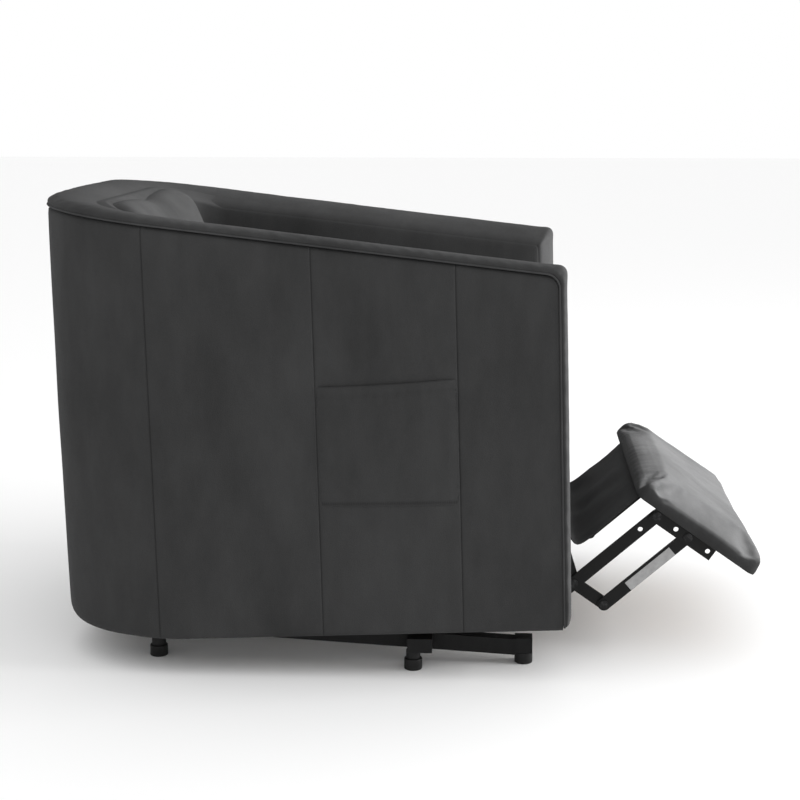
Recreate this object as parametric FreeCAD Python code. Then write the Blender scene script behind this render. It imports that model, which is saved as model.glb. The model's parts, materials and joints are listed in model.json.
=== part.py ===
"""Push-back tub recliner with a linked footrest, built as separate pieces.

Millimetres. +Z is up, the sitter looks along -Y, and -X is the sitter's right hand.
Lengths "forward" are measured along -Y from the middle of the base, heights from the floor.
The tub and its footrest are drawn with the tub upright, then leaned back by rest_recline,
and the whole chair is moved so that its origin is on the floor under the middle of its box.
"""
import FreeCAD
import Part

import math
import os

Vector = FreeCAD.Vector

# ---- Driving dimensions: tub -------------------------------------------------------------
shell_width = 750.0
shell_depth = 795.0
front_face = 393.0              # forward distance of the arm fronts
rim_height_back = 717.5         # top of the outer walls, under the rim pad
rim_height_front = 603.5
skirt_height_front = 68.0       # bottom edge of the outer walls
skirt_height_back = 54.0
arm_thickness = 115.0
back_thickness = 120.0
rear_corner_radius = 202.0
inner_corner_radius = 80.0
crown = 12.0                    # rim pad
front_crown = 11.0              # padded strip on each arm front
skirt_thickness = 30.0
skirt_roll_radius = 22.0        # round of the lower back edge
hollow_height = 120.0           # underside of the arms and back behind the skirt
arm_post_depth = 62.0           # front part of the arm, solid down to the skirt
piping_radius = 3.0
piping_gap = 0.3                # between the piping and the walls it is sewn along
piping_bend = 22.0              # round of the piping at the arm's top front corner
piping_start = 10.0             # its lower end above the skirt's edge
front_pad_lift = 4.0            # lower end of the arm's front strip above the skirt's edge
round_share = 0.7               # of a pad's thickness that its edges are rounded by

# ---- Driving dimensions: wooden frames ------------------------------------------------------
board = 18.0
arm_frame_width = 60.0
arm_frame_inset = 25.0          # from the arm's inner face
frame_post = 44.0
frame_cover = 14.0              # padding in front of the arm frame
rim_frame_drop = 50.0           # top of the wooden frame below the rim
rail_screws = 3                 # in each seat side rail
rail_screw_start = 110.0        # first screw from the rail's rear end
rail_screw_pitch = 118.0
screw_bite = 14.0               # thread length in wood
link_notch_side = 6.0           # room beside the swinging link under the front rail
back_frame_half_width = 165.0
seat_rail_bottom = 292.0
seat_rail_top = 346.0
seat_front_rail_bottom = 296.0
seat_front_rail = 16.0
seat_front_padding = 6.0

# ---- Driving dimensions: cushions -----------------------------------------------------------
seat_cushion_height = 104.0
seat_cushion_round = 24.0
back_cushion_thickness = 97.0
back_cushion_top_drop = 6.0     # below the rim at the back
back_cushion_round = 26.0
back_cushion_side_gap = 24.0    # between its sides and the seat cushion's
cushion_gap = 2.0
long_straps = 4
cross_straps = 5
strap_width = 50.0
strap_thickness = 2.0

# ---- Driving dimensions: side pockets ---------------------------------------------------------
pocket_front = 242.0            # forward places of its two upright seams
pocket_back = 30.0
pocket_top_front = 455.0
pocket_top_back = 446.0
pocket_bottom = 264.0
pocket_thickness = 2.0

# ---- Driving dimensions: footrest linkage -------------------------------------------------------
side_clearance = 8.5            # pad to arm
opening = 53.7                  # degrees that the footrest is swung out; 0 folded, 90 level
swing_pivot_setback = 41.0      # behind the arm fronts
swing_pivot_height = 320.0
swing_back = 144.5              # lower pivot behind and below the swing pivot when folded
swing_down = 241.4
link_spacing = 59.0
link_length = 171.0
link_folded_angle = 33.0        # of the two parallel links, above level
link_follow = 0.12              # how far they turn for each degree of the footrest
link_width = 20.0
link_thickness = 4.0
tail_length = 60.0              # upper link behind its elbow
bracket_thickness = 3.0
bracket_flange = 25.0
bracket_depth = 24.0
bracket_start = 40.0            # along the pad from its rear edge
bracket_end = 156.0
bracket_setback = 49.0          # first pivot along the pad, and below its top face
bracket_drop = 43.0
spare_hole_places = (85.0, 146.0)
spare_link_hole = 137.0
spare_hole_radius = 4.0
rivet_radius = 4.0
rivet_head_radius = 7.0
rivet_head = 1.6
shaft_radius = 7.0
pin_clearance = 0.1
stay_eye_clearance = 3.0        # at the stay's open end
layer_gap = 1.0                 # between neighbouring links
head_gap = 0.3                  # under a rivet's head
shaft_end_gap = 0.5
hub_edge = 14.0                 # side plate in front of the swing pivot
plate_nose = 28.0               # slant of the side plate's lower front corner
plate_nose_height = 6.0         # top of that slant above the seat rail's lower edge
plate_inset = 20.0              # side plate inside the arm's inner face
plate_thickness = 4.0
plate_lip = 14.0                # side plate below the seat rail
bracket_inset = 35.0            # pad bracket inside the arm's inner face
label_start = 48.0
label_end = 138.0
label_width = 16.0
label_thickness = 0.4
board_screw_inset = 20.0        # from each end of the pad bracket
board_screw_bite = 7.0
board_screw_side = 15.0         # inside the bracket's leg

# ---- Driving dimensions: footrest pad -----------------------------------------------------------
pad_length = 220.0
pad_overhang = 6.0              # padding past the board's front end
pad_rear_overhang = 4.0
pad_base_depth = 30.0           # from the pad's top plane to the board's underside
pad_crown = 6.0
pad_round = 12.0
footrest_board = 10.0
board_side_margin = 9.0
flap_side_gap = 8.0             # flap inside the swinging links
flap_thickness = 2.5
flap_forward = 51.0             # lowest place of the hanging flap, from the front rail
flap_drop = 144.0
flap_attach = 16.0              # along the pad from its rear edge
flap_start_forward = 11.2       # where the cloth turns down behind the front rail
flap_start_drop = 65.0
flap_rise_drop = 8.6            # sag of the stretch that rises to the pad
flap_steps = 24

# ---- Driving dimensions: base -------------------------------------------------------------------
rest_recline = 1.6              # degrees
recline_pivot_inset = 82.0      # in front of the seat frame's rear
recline_pivot_height = 175.0
recline_pin_radius = 6.0
recline_head_radius = 10.0
recline_head = 2.5
pin_edge = 20.0                 # plate below the recline pin
plate_shoulder = 5.0            # side plate's strip beyond its recline leg
rail_outset = 39.0              # rail's centre line outside the side plate
rail_width = 24.0
rail_height = 25.0
rail_slope = 3.2                # degrees, lower at the front
rail_mid_height = 45.5          # centre line at forward 0
rail_front = 323.0
rail_rear_inset = 117.0         # rail's rear end in front of the tub's back
front_post = 27.0
front_post_top = 42.0
front_foot_forward = 336.5
rear_foot_inset = 46.0          # from the rail's rear end
mid_foot_forward = 166.0
mid_foot_outset = 40.0
mid_tube_depth = 38.0
mid_tube_bottom = 30.0
mid_tube_top = 52.0
mid_tube_forward = 176.5
rear_tube_depth = 24.0
rear_tube_bottom = 48.0
rear_tube_top = 70.0
foot_radius = 14.0
foot_height = 18.0
foot_round = 2.0
stem_radius = 11.0
upright_width = 80.0
upright_top = 197.0
upright_bottom = 42.0
upright_gap = 2.0               # beside the side plate
upright_foot = 24.0             # height of its straight lower part
upright_flange = 56.0           # length of the flange on the rail
outrigger_end = 2.0             # beyond the glide
bolt_head_radius = 6.0
bolt_head = 2.5
bolt_radius = 3.0

# ---- Worked out from the driving dimensions --------------------------------------------------
half_width = shell_width / 2
front_y = -front_face
back_y = front_y + shell_depth
corner_y = back_y - rear_corner_radius
corner_x = half_width - rear_corner_radius
inner_x = half_width - arm_thickness
inner_back_y = back_y - back_thickness
plate_out = inner_x - plate_inset
plate_in = plate_out - plate_thickness
bracket_out = inner_x - bracket_inset
bracket_in = bracket_out - bracket_thickness
link_out = bracket_in - layer_gap
link_in = link_out - link_thickness
swing_out = link_in - layer_gap
swing_in = swing_out - link_thickness
stay_in = link_out + 2 * layer_gap
stay_out = stay_in + link_thickness
pad_half_width = inner_x - side_clearance
flap_half_width = swing_in - flap_side_gap
cushion_half_width = inner_x - cushion_gap
seat_front_y = -(front_face - 1.0)
seat_front_rail_y = seat_front_y + seat_front_padding
seat_rear_y = inner_back_y - back_cushion_thickness + cushion_gap
seat_frame_rear_y = inner_back_y - inner_corner_radius
recline_pivot_forward = recline_pivot_inset - seat_frame_rear_y
rail_spacing = 2 * (plate_out + rail_outset)
rail_rear = rail_rear_inset - back_y
rear_foot_forward = rail_rear + rear_foot_inset
rim_slope = math.atan2(rim_height_back - rim_height_front, shell_depth)
tall = 2000.0                   # cutters reach past everything
past = 1.0                      # cutters run past a face by this much

nodes = {}


# ---- Small helpers ---------------------------------------------------------------------------
def turn(point, degrees):
    """Turn a (forward, height) pair; positive lifts what is in front."""
    a = math.radians(degrees)
    f, h = point
    return (f * math.cos(a) - h * math.sin(a), f * math.sin(a) + h * math.cos(a))


def plus(point, degrees, length):
    """Step from a (forward, height) point by a length at an angle above level."""
    a = math.radians(degrees)
    return (point[0] + length * math.cos(a), point[1] + length * math.sin(a))


def box(x0, x1, y0, y1, z0, z1):
    return Part.makeBox(x1 - x0, y1 - y0, z1 - z0, Vector(x0, y0, z0))


def slab(x0, x1, outline):
    """Extrude a (forward, height) outline from x0 to x1."""
    points = [Vector(x0, -f, h) for f, h in outline]
    face = Part.Face(Part.makePolygon(points + points[:1]))
    return face.extrude(Vector(x1 - x0, 0, 0))


def rod(x0, x1, place, radius):
    """A round bar along X through a (forward, height) place."""
    return Part.makeCylinder(radius, x1 - x0, Vector(x0, -place[0], place[1]), Vector(1, 0, 0))


def bar(x0, x1, a, b, width):
    """A flat bar with round ends between two (forward, height) places."""
    along = math.degrees(math.atan2(b[1] - a[1], b[0] - a[0]))
    corners = [
        plus(a, along + 90, width / 2),
        plus(b, along + 90, width / 2),
        plus(b, along - 90, width / 2),
        plus(a, along - 90, width / 2),
    ]
    ends = [rod(x0, x1, a, width / 2), rod(x0, x1, b, width / 2)]
    return slab(x0, x1, corners).multiFuse(ends).removeSplitter()


def joined(shapes):
    return shapes[0].multiFuse(shapes[1:]).removeSplitter()


def mirrored(shape):
    return shape.mirror(Vector(0, 0, 0), Vector(1, 0, 0))


def add(name, shape):
    nodes[name] = shape


def add_pair(name, left_shape):
    """A piece drawn on the sitter's left (+X), and its mirror image on the right."""
    add(name + "_left", left_shape)
    add(name + "_right", mirrored(left_shape))


def add_group(name, shapes):
    """Loose identical fasteners on the left and their mirror images, in one node."""
    add(name, Part.makeCompound(shapes + [mirrored(s) for s in shapes]))


def rivet(place, x0, x1, radius=rivet_radius, head_radius=rivet_head_radius, head=rivet_head):
    """A pin along X with a flat head beyond each end of its grip."""
    heads = [rod(x0 - head, x0, place, head_radius), rod(x1, x1 + head, place, head_radius)]
    return joined([rod(x0, x1, place, radius)] + heads)


# ---- The tub's walls ------------------------------------------------------------------------
def rim_height(y):
    return rim_height_front + (y - front_y) * math.tan(rim_slope)


def skirt_height(y):
    share = (y - front_y) / shell_depth
    return skirt_height_front + (skirt_height_back - skirt_height_front) * share


def slope_block(y0, y1, lower, upper):
    """A wide block between two sloping heights given as functions of y."""
    outline = [(-y0, lower(y0)), (-y1, lower(y1)), (-y1, upper(y1)), (-y0, upper(y0))]
    return slab(-tall / 2, tall / 2, outline)


def back_plan(offset=0.0):
    """Outer outline of the rear part of the tub in plan, pulled in by offset."""
    x = half_width - offset
    y = back_y - offset
    r = rear_corner_radius - offset
    bow = r * math.sqrt(0.5)
    edges = [
        Part.Arc(
            Vector(x, corner_y, 0),
            Vector(corner_x + bow, corner_y + bow, 0),
            Vector(corner_x, y, 0),
        ).toShape(),
        Part.makeLine(Vector(corner_x, y, 0), Vector(-corner_x, y, 0)),
        Part.Arc(
            Vector(-corner_x, y, 0),
            Vector(-corner_x - bow, corner_y + bow, 0),
            Vector(-x, corner_y, 0),
        ).toShape(),
    ]
    return edges, x


def rear_prism(offset, bottom, top):
    """The rear part of the tub as a full block, pulled in by offset."""
    edges, x = back_plan(offset)
    edges.append(Part.makeLine(Vector(-x, corner_y, 0), Vector(x, corner_y, 0)))
    face = Part.Face(Part.Wire(edges))
    face.translate(Vector(0, 0, bottom))
    return face.extrude(Vector(0, 0, top - bottom))


def seat_well(bottom, top):
    """The space between the arms and in front of the back, with round rear corners."""
    well = box(-inner_x, inner_x, front_y - arm_thickness, inner_back_y, bottom, top)
    edges = [
        e for e in well.Edges
        if abs(e.tangentAt(e.FirstParameter).z) > 0.99 and e.CenterOfMass.y > 0
    ]
    return well.makeFillet(inner_corner_radius, edges)


def arm_frame():
    """Wooden ladder inside one arm: two posts and two rails."""
    x0 = inner_x + arm_frame_inset
    x1 = x0 + arm_frame_width
    y0 = front_y + frame_cover
    y1 = corner_y - board

    def top(y):
        return rim_height(y) - rim_frame_drop

    def under_top(y):
        return top(y) - board

    pieces = [
        box(x0, x1, y0, y1, hollow_height, hollow_height + board),
        slope_block(y0, y1, under_top, top),
        slope_block(y0, y0 + frame_post, skirt_top, top),
        slope_block(y1 - frame_post, y1, hollow_floor, top),
    ]
    return joined([piece.common(box(x0, x1, y0, y1, 0, tall)) for piece in pieces])


def skirt_top(y):
    return skirt_height(y) + board


def hollow_floor(y):
    return hollow_height


def below_floor(y):
    return -past


def above_all(y):
    return tall + past


def arm_cover(frame):
    """One padded arm, hollow below behind its skirt, round its wooden frame."""
    block = slope_block(front_y, corner_y, skirt_height, rim_height)
    arm = block.common(box(inner_x, half_width, front_y, corner_y, 0, tall))
    x1 = half_width - skirt_thickness
    y0 = front_y + arm_post_depth
    hollow = box(inner_x - past, x1, y0, corner_y + past, 0, hollow_height)
    return arm.cut(hollow).cut(frame)


def back_frame():
    """Wooden frame inside the back: two posts, a top and a bottom rail."""
    middle = (back_y + inner_back_y) / 2
    y0 = middle - board
    y1 = middle + board
    top = rim_height(middle) - rim_frame_drop
    w = back_frame_half_width
    outer = box(-w, w, y0, y1, hollow_height, top)
    window = box(-w + frame_post, w - frame_post, y0, y1, hollow_height + frame_post, top - frame_post)
    return outer.cut(window)


def back_cover(frame):
    """The padded back with its two round corners, hollow below behind its skirt."""
    block = rear_prism(0.0, 0, tall)
    floor = slope_block(corner_y - past, back_y + past, below_floor, skirt_height)
    block = block.cut(floor)
    low_edges = [e for e in block.Edges if is_low_outer_edge(e)]
    block = block.makeFillet(skirt_roll_radius, low_edges)
    hollow = rear_prism(skirt_thickness, 0, hollow_height)
    sky = slope_block(corner_y - past, back_y + past, rim_height, above_all)
    return block.cut(hollow).cut(seat_well(-past, tall + past)).cut(sky).cut(frame)


def is_low_outer_edge(edge):
    """True for the bottom edges along the outside of the rear block."""
    low = edge.BoundBox.ZMax < skirt_height_front
    return low and edge.BoundBox.YMax > corner_y + past


def rim_pad():
    """The soft pad that runs round the top of both arms and the back."""
    def pad_top(y):
        return rim_height(y) + crown

    plan = box(-half_width, half_width, front_y, corner_y, 0, tall)
    plan = plan.fuse(rear_prism(0.0, 0, tall)).cut(seat_well(-past, tall + past)).removeSplitter()
    layer = slope_block(front_y - past, back_y + past, rim_height, pad_top)
    pad = plan.common(layer)
    top_edges = [e for e in pad.Edges if is_on_slope(e, pad_top)]
    return pad.makeFillet(crown * round_share, top_edges)


def is_on_slope(edge, height):
    """True for an edge that lies in the sloping plane of the given height."""
    return all(abs(v.Z - height(v.Y)) < 0.01 for v in edge.Vertexes)


def arm_front_pad():
    """The crowned strip down the front of one arm."""
    y1 = front_y
    y0 = front_y - front_crown
    top = rim_height_front + crown
    pad = box(inner_x, half_width, y0, y1, skirt_height_front + front_pad_lift, top)
    edges = [e for e in pad.Edges if abs(e.CenterOfMass.y - y0) < 0.01]
    return pad.makeFillet(front_crown * round_share, edges)


def piping():
    """The corded seam round the rim and down both arm fronts: a left and a right run."""
    stand = piping_radius + piping_gap
    x = half_width + stand
    y = back_y + stand
    bow = (rear_corner_radius + stand) * math.sqrt(0.5)
    start_z = skirt_height_front + piping_start
    half_turn = (math.pi / 2 - rim_slope) / 2
    reach = piping_bend * math.tan(half_turn)
    corner = Vector(x, front_y, rim_height_front)
    down = corner - Vector(0, 0, reach)
    out = corner + Vector(0, math.cos(rim_slope), math.sin(rim_slope)) * reach
    centre = down + Vector(0, piping_bend, 0)
    to_corner = corner - centre
    to_corner.normalize()
    crest = centre + to_corner * piping_bend

    def on_rim(px, py):
        return Vector(px, py, rim_height(py))

    start = Vector(x, front_y, start_z)
    run = [
        Part.makeLine(start, down),
        Part.Arc(down, crest, out).toShape(),
        Part.makeLine(out, on_rim(x, corner_y)),
        Part.Arc(
            on_rim(x, corner_y), on_rim(corner_x + bow, corner_y + bow), on_rim(corner_x, y)
        ).toShape(),
        Part.makeLine(on_rim(corner_x, y), on_rim(piping_gap, y)),
    ]
    profile = Part.Wire(Part.makeCircle(piping_radius, start, Vector(0, 0, 1)))
    return Part.Wire(run).makePipeShell([profile], True, False)


def side_pocket():
    """The flat stitched pocket on the outside of one arm."""
    outline = [
        (pocket_back, pocket_bottom),
        (pocket_front, pocket_bottom),
        (pocket_front, pocket_top_front),
        (pocket_back, pocket_top_back),
    ]
    return slab(half_width, half_width + pocket_thickness, outline)


def build_tub():
    frame = arm_frame()
    add_pair("arm_frame", frame)
    add_pair("arm_cover", arm_cover(frame))
    rear_frame = back_frame()
    add("back_frame", rear_frame)
    add("back_cover", back_cover(rear_frame))
    add("rim_pad", rim_pad())
    add_group("rim_piping", [piping()])
    add_pair("arm_front_pad", arm_front_pad())
    add_pair("side_pocket", side_pocket())


# ---- Seat and back cushions, rails and springs ----------------------------------------------
def rail_screw_places():
    first = rail_screw_start - seat_frame_rear_y
    middle = (seat_rail_bottom + seat_rail_top) / 2
    return [(first + i * rail_screw_pitch, middle) for i in range(rail_screws)]


def screw(place):
    """A pan-head screw through the side plate into the seat rail."""
    head = rod(plate_in - bolt_head, plate_in, place, bolt_head_radius)
    return joined([head, rod(plate_in, plate_out + screw_bite, place, bolt_radius)])


def seat_rails(screws):
    rear_y = seat_frame_rear_y - board
    inner_y = seat_front_rail_y + seat_front_rail
    side = box(plate_out, plate_out + board, inner_y, rear_y, seat_rail_bottom, seat_rail_top)
    add_pair("seat_side_rail", side.cut(screws))
    reach = plate_out + board
    rear = box(-reach, reach, rear_y, seat_frame_rear_y, seat_rail_bottom, seat_rail_top)
    add("seat_rear_rail", rear)


def link_notch():
    """Room for the swinging links under the front rail, on the left."""
    top = swing_pivot_height + link_width / 2
    y1 = seat_front_rail_y + seat_front_rail + past
    return box(swing_in - link_notch_side, plate_in - past, seat_front_y - past, y1, 0, top)


def seat_front():
    reach = plate_out + board
    notch = link_notch()
    y0 = seat_front_rail_y
    y1 = y0 + seat_front_rail
    front = box(-reach, reach, y0, y1, seat_front_rail_bottom, seat_rail_top)
    add("seat_front_rail", front.cut(notch).cut(mirrored(notch)))
    padding = box(-reach, reach, seat_front_y, y0, seat_front_rail_bottom, seat_rail_top)
    add("seat_front_cover", padding.cut(notch).cut(mirrored(notch)))


def seat_webbing():
    """Elastic straps between the rails, lengthwise below and crosswise above."""
    y0 = seat_front_rail_y + seat_front_rail
    y1 = seat_frame_rear_y - board
    high = seat_rail_top - 1.5 * strap_thickness
    low = high - 1.5 * strap_thickness
    straps = []
    pitch = 2 * plate_in / long_straps
    for i in range(long_straps):
        x = -plate_in + (i + 0.5) * pitch - strap_width / 2
        straps.append(box(x, x + strap_width, y0, y1, low, low + strap_thickness))
    pitch = (y1 - y0) / cross_straps
    for i in range(cross_straps):
        y = y0 + (i + 0.5) * pitch - strap_width / 2
        straps.append(box(-plate_out, plate_out, y, y + strap_width, high, high + strap_thickness))
    return Part.makeCompound(straps)


def cushions():
    seat = box(
        -cushion_half_width,
        cushion_half_width,
        seat_front_y,
        seat_rear_y - cushion_gap,
        seat_rail_top,
        seat_rail_top + seat_cushion_height,
    )
    top = seat_rail_top + seat_cushion_height
    edges = [e for e in seat.Edges if abs(e.CenterOfMass.z - top) < 0.01]
    add("seat_cushion", seat.makeFillet(seat_cushion_round, edges))
    rest_top = rim_height(inner_back_y) - back_cushion_top_drop
    rest = box(
        -cushion_half_width + back_cushion_side_gap,
        cushion_half_width - back_cushion_side_gap,
        seat_rear_y,
        inner_back_y,
        seat_rail_top + cushion_gap,
        rest_top,
    )
    edges = [e for e in rest.Edges if abs(e.CenterOfMass.y - seat_rear_y) < 0.01]
    rest = rest.makeFillet(back_cushion_round, edges)
    add("back_cushion", rest.common(seat_well(0, tall)))


def build_seat():
    screws = [screw(place) for place in rail_screw_places()]
    add_group("plate_screws", screws)
    group = Part.makeCompound(screws)
    seat_rails(group)
    seat_front()
    add("seat_webbing", seat_webbing())
    cushions()
    return group


# ---- Footrest linkage --------------------------------------------------------------------------
def swing_pivot():
    return (front_face - swing_pivot_setback, swing_pivot_height)


def link_places(angle):
    """Pivots of the linkage with the footrest swung out by an angle from folded."""
    hub = swing_pivot()
    low = turn((-swing_back, -swing_down), angle)
    elbow = turn((-swing_back, -swing_down + link_spacing), angle)
    tilt = link_folded_angle + link_follow * angle
    places = {
        "hub": hub,
        "lower": (hub[0] + low[0], hub[1] + low[1]),
        "elbow": (hub[0] + elbow[0], hub[1] + elbow[1]),
        "tilt": tilt,
    }
    places["tail"] = plus(places["elbow"], tilt + 180, tail_length)
    places["upper_end"] = plus(places["elbow"], tilt, link_length)
    places["lower_end"] = plus(places["lower"], tilt, link_length)
    return places


def circle_centre(a, b, c):
    """Centre of the circle through three (forward, height) places."""
    d = 2 * (a[0] * (b[1] - c[1]) + b[0] * (c[1] - a[1]) + c[0] * (a[1] - b[1]))
    sq = [p[0] ** 2 + p[1] ** 2 for p in (a, b, c)]
    f = (sq[0] * (b[1] - c[1]) + sq[1] * (c[1] - a[1]) + sq[2] * (a[1] - b[1])) / d
    h = (sq[0] * (c[0] - b[0]) + sq[1] * (a[0] - c[0]) + sq[2] * (b[0] - a[0])) / d
    return (f, h)


def stay_pivot():
    """Where the stay turns on the side plate: the centre of its lower end's travel."""
    return circle_centre(*(link_places(angle)["tail"] for angle in (0.0, 45.0, 90.0)))


def stay_angle(angle):
    centre = stay_pivot()
    tail = link_places(angle)["tail"]
    return math.degrees(math.atan2(tail[1] - centre[1], tail[0] - centre[0]))


def on_pad(along, above):
    """A place given along the footrest from its rear edge and above its top plane."""
    corner = plus(link_places(opening)["upper_end"], opening + 90, bracket_setback)
    corner = plus(corner, opening, bracket_drop)
    return plus(plus(corner, opening - 90, along), opening, above)


def pad_slab(x0, x1, start, end, bottom, top):
    corners = [on_pad(start, bottom), on_pad(end, bottom), on_pad(end, top), on_pad(start, top)]
    return slab(x0, x1, corners)


def swing_links(at):
    hole = rod(swing_in, swing_out, at["hub"], shaft_radius)
    link = joined([
        bar(swing_in, swing_out, at["hub"], at["elbow"], link_width),
        bar(swing_in, swing_out, at["elbow"], at["lower"], link_width),
    ]).cut(hole)
    for place in (at["elbow"], at["lower"]):
        link = link.cut(rod(swing_in, swing_out, place, rivet_radius))
    add_pair("swing_link", link)
    end = plate_out - shaft_end_gap
    add("drive_shaft", rod(-end, end, at["hub"], shaft_radius))
    rivets = [rivet(at[name], swing_in, link_out + head_gap) for name in ("elbow", "lower")]
    add_group("swing_rivets", rivets)


def parallel_links(at):
    loose = rivet_radius + pin_clearance
    upper = bar(link_in, link_out, at["tail"], at["upper_end"], link_width)
    spare = plus(at["elbow"], at["tilt"], spare_link_hole)
    upper = upper.cut(rod(link_in, link_out, spare, spare_hole_radius))
    upper = upper.cut(rod(link_in, link_out, at["tail"], rivet_radius))
    lower = bar(link_in, link_out, at["lower"], at["lower_end"], link_width)
    for end in ("elbow", "upper_end"):
        upper = upper.cut(rod(link_in, link_out, at[end], loose))
    for end in ("lower", "lower_end"):
        lower = lower.cut(rod(link_in, link_out, at[end], loose))
    add_pair("upper_link", upper)
    add_pair("lower_link", lower)
    add_pair("tail_pin", tail_pin(at["tail"]))
    add("blank_label", label(at))


def tail_pin(place):
    """The rivet on the upper link's tail that the stay's eye rides on."""
    washer = rivet_head_radius + stay_eye_clearance
    end = stay_out + head_gap
    grip = rod(link_in, end, place, rivet_radius)
    inner = rod(link_in - rivet_head, link_in, place, rivet_head_radius)
    outer = rod(end, end + rivet_head, place, washer)
    return joined([grip, inner, outer])


def label(at):
    """A plain sticker on the outer face of the right lower link."""
    low = (label_width - link_width) / 2
    start = plus(plus(at["lower"], at["tilt"], label_start), at["tilt"] + 90, low)
    end = plus(plus(at["lower"], at["tilt"], label_end), at["tilt"] + 90, low)
    half = label_width / 2
    corners = [
        plus(start, at["tilt"] + 90, half),
        plus(end, at["tilt"] + 90, half),
        plus(end, at["tilt"] - 90, half),
        plus(start, at["tilt"] - 90, half),
    ]
    return slab(-link_out - label_thickness, -link_out, corners)


def stays(at):
    pivot = stay_pivot()
    stay = bar(stay_in, stay_out, pivot, at["tail"], link_width + 2 * stay_eye_clearance)
    stay = stay.cut(rod(stay_in, stay_out, pivot, rivet_radius + pin_clearance))
    stay = stay.cut(rod(stay_in, stay_out, at["tail"], rivet_radius + stay_eye_clearance))
    add_pair("stay_link", stay)
    start = stay_in - head_gap
    shank = rod(start, plate_out, pivot, rivet_radius)
    head = rod(start - layer_gap, start, pivot, rivet_head_radius)
    collar = rod(stay_out + head_gap, plate_in, pivot, rivet_head_radius)
    add_group("stay_pins", [joined([shank, head, collar])])


def side_plates(at, screws):
    """Steel plate on each seat rail that carries the linkage and the recline pin."""
    strip_low = seat_rail_bottom - plate_lip
    strip_high = seat_rail_top - 4 * strap_thickness
    leg_end = recline_pivot_height - pin_edge
    f = recline_pivot_forward
    w = upright_width / 2
    rear = f - w - plate_shoulder
    front = front_face - swing_pivot_setback + hub_edge
    outline = [
        (front - plate_nose, strip_low),
        (front, seat_rail_bottom + plate_nose_height),
        (front, strip_high),
        (rear, strip_high),
        (rear, strip_low),
        (f - w / 2, leg_end),
        (f + w / 2, leg_end),
        (f + w + plate_shoulder, strip_low),
    ]
    plate = slab(plate_in, plate_out, outline)
    plate = plate.cut(rod(plate_in, plate_out, at["hub"], shaft_radius + pin_clearance))
    plate = plate.cut(rod(plate_in, plate_out, stay_pivot(), rivet_radius))
    plate = plate.cut(rod(plate_in, plate_out, recline_place(), recline_pin_radius))
    add_pair("side_plate", plate.cut(screws))


def brackets():
    """Steel angle under each side of the footrest board."""
    top = -pad_base_depth
    leg = pad_slab(bracket_in, bracket_out, bracket_start, bracket_end, top - bracket_depth, top)
    flange = pad_slab(
        bracket_out - bracket_flange, bracket_out, bracket_start, bracket_end,
        top - bracket_thickness, top,
    )
    bracket = joined([leg, flange])
    holes = [(bracket_setback, rivet_radius), (bracket_setback + link_spacing, rivet_radius)]
    holes += [(place, spare_hole_radius) for place in spare_hole_places]
    for along, radius in holes:
        bracket = bracket.cut(rod(bracket_in, bracket_out, on_pad(along, -bracket_drop), radius))
    add_pair("pad_bracket", bracket)
    rivets = []
    for along in (bracket_setback, bracket_setback + link_spacing):
        rivets.append(rivet(on_pad(along, -bracket_drop), link_in - 0.3, bracket_out))
    add_group("bracket_rivets", rivets)


def board_screw(along, x):
    """A screw up through the bracket's flange into the footrest board."""
    axis_end = on_pad(along, 0)
    start = on_pad(along, -pad_base_depth - bracket_thickness)
    head_start = on_pad(along, -pad_base_depth - bracket_thickness - bolt_head)
    way = Vector(0, -(axis_end[0] - start[0]), axis_end[1] - start[1])
    length = bracket_thickness + board_screw_bite
    shank = Part.makeCylinder(bolt_radius, length, Vector(x, -start[0], start[1]), way)
    seat = Vector(x, -head_start[0], head_start[1])
    head = Part.makeCylinder(bolt_head_radius, bolt_head, seat, way)
    return joined([head, shank])


def footrest():
    x = bracket_out - board_screw_side
    ends = (bracket_start + board_screw_inset, bracket_end - board_screw_inset)
    screws = [board_screw(along, x) for along in ends]
    both = Part.makeCompound(screws + [mirrored(s) for s in screws])
    add_group("footrest_screws", screws)
    for side in ("_left", "_right"):
        nodes["pad_bracket" + side] = nodes["pad_bracket" + side].cut(both)
    w = pad_half_width - board_side_margin
    low = -pad_base_depth
    panel = pad_slab(-w, w, pad_overhang, pad_length - pad_overhang, low, low + footrest_board)
    wide = pad_half_width
    pad = pad_slab(-wide, wide, -pad_rear_overhang, pad_length + pad_overhang, low, pad_crown)
    pad = pad.makeFillet(pad_round, [e for e in pad.Edges if is_pad_edge(e)])
    add("footrest_pad", pad.cut(panel))
    add("footrest_board", panel.cut(both))


def is_pad_edge(edge):
    """True for the edges round the top face of the footrest pad."""
    return all(abs(height_on_pad(v.Point) - pad_crown) < 0.01 for v in edge.Vertexes)


def height_on_pad(point):
    corner = on_pad(0, 0)
    up = math.radians(opening)
    return (-point.y - corner[0]) * math.cos(up) + (point.z - corner[1]) * math.sin(up)


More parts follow.
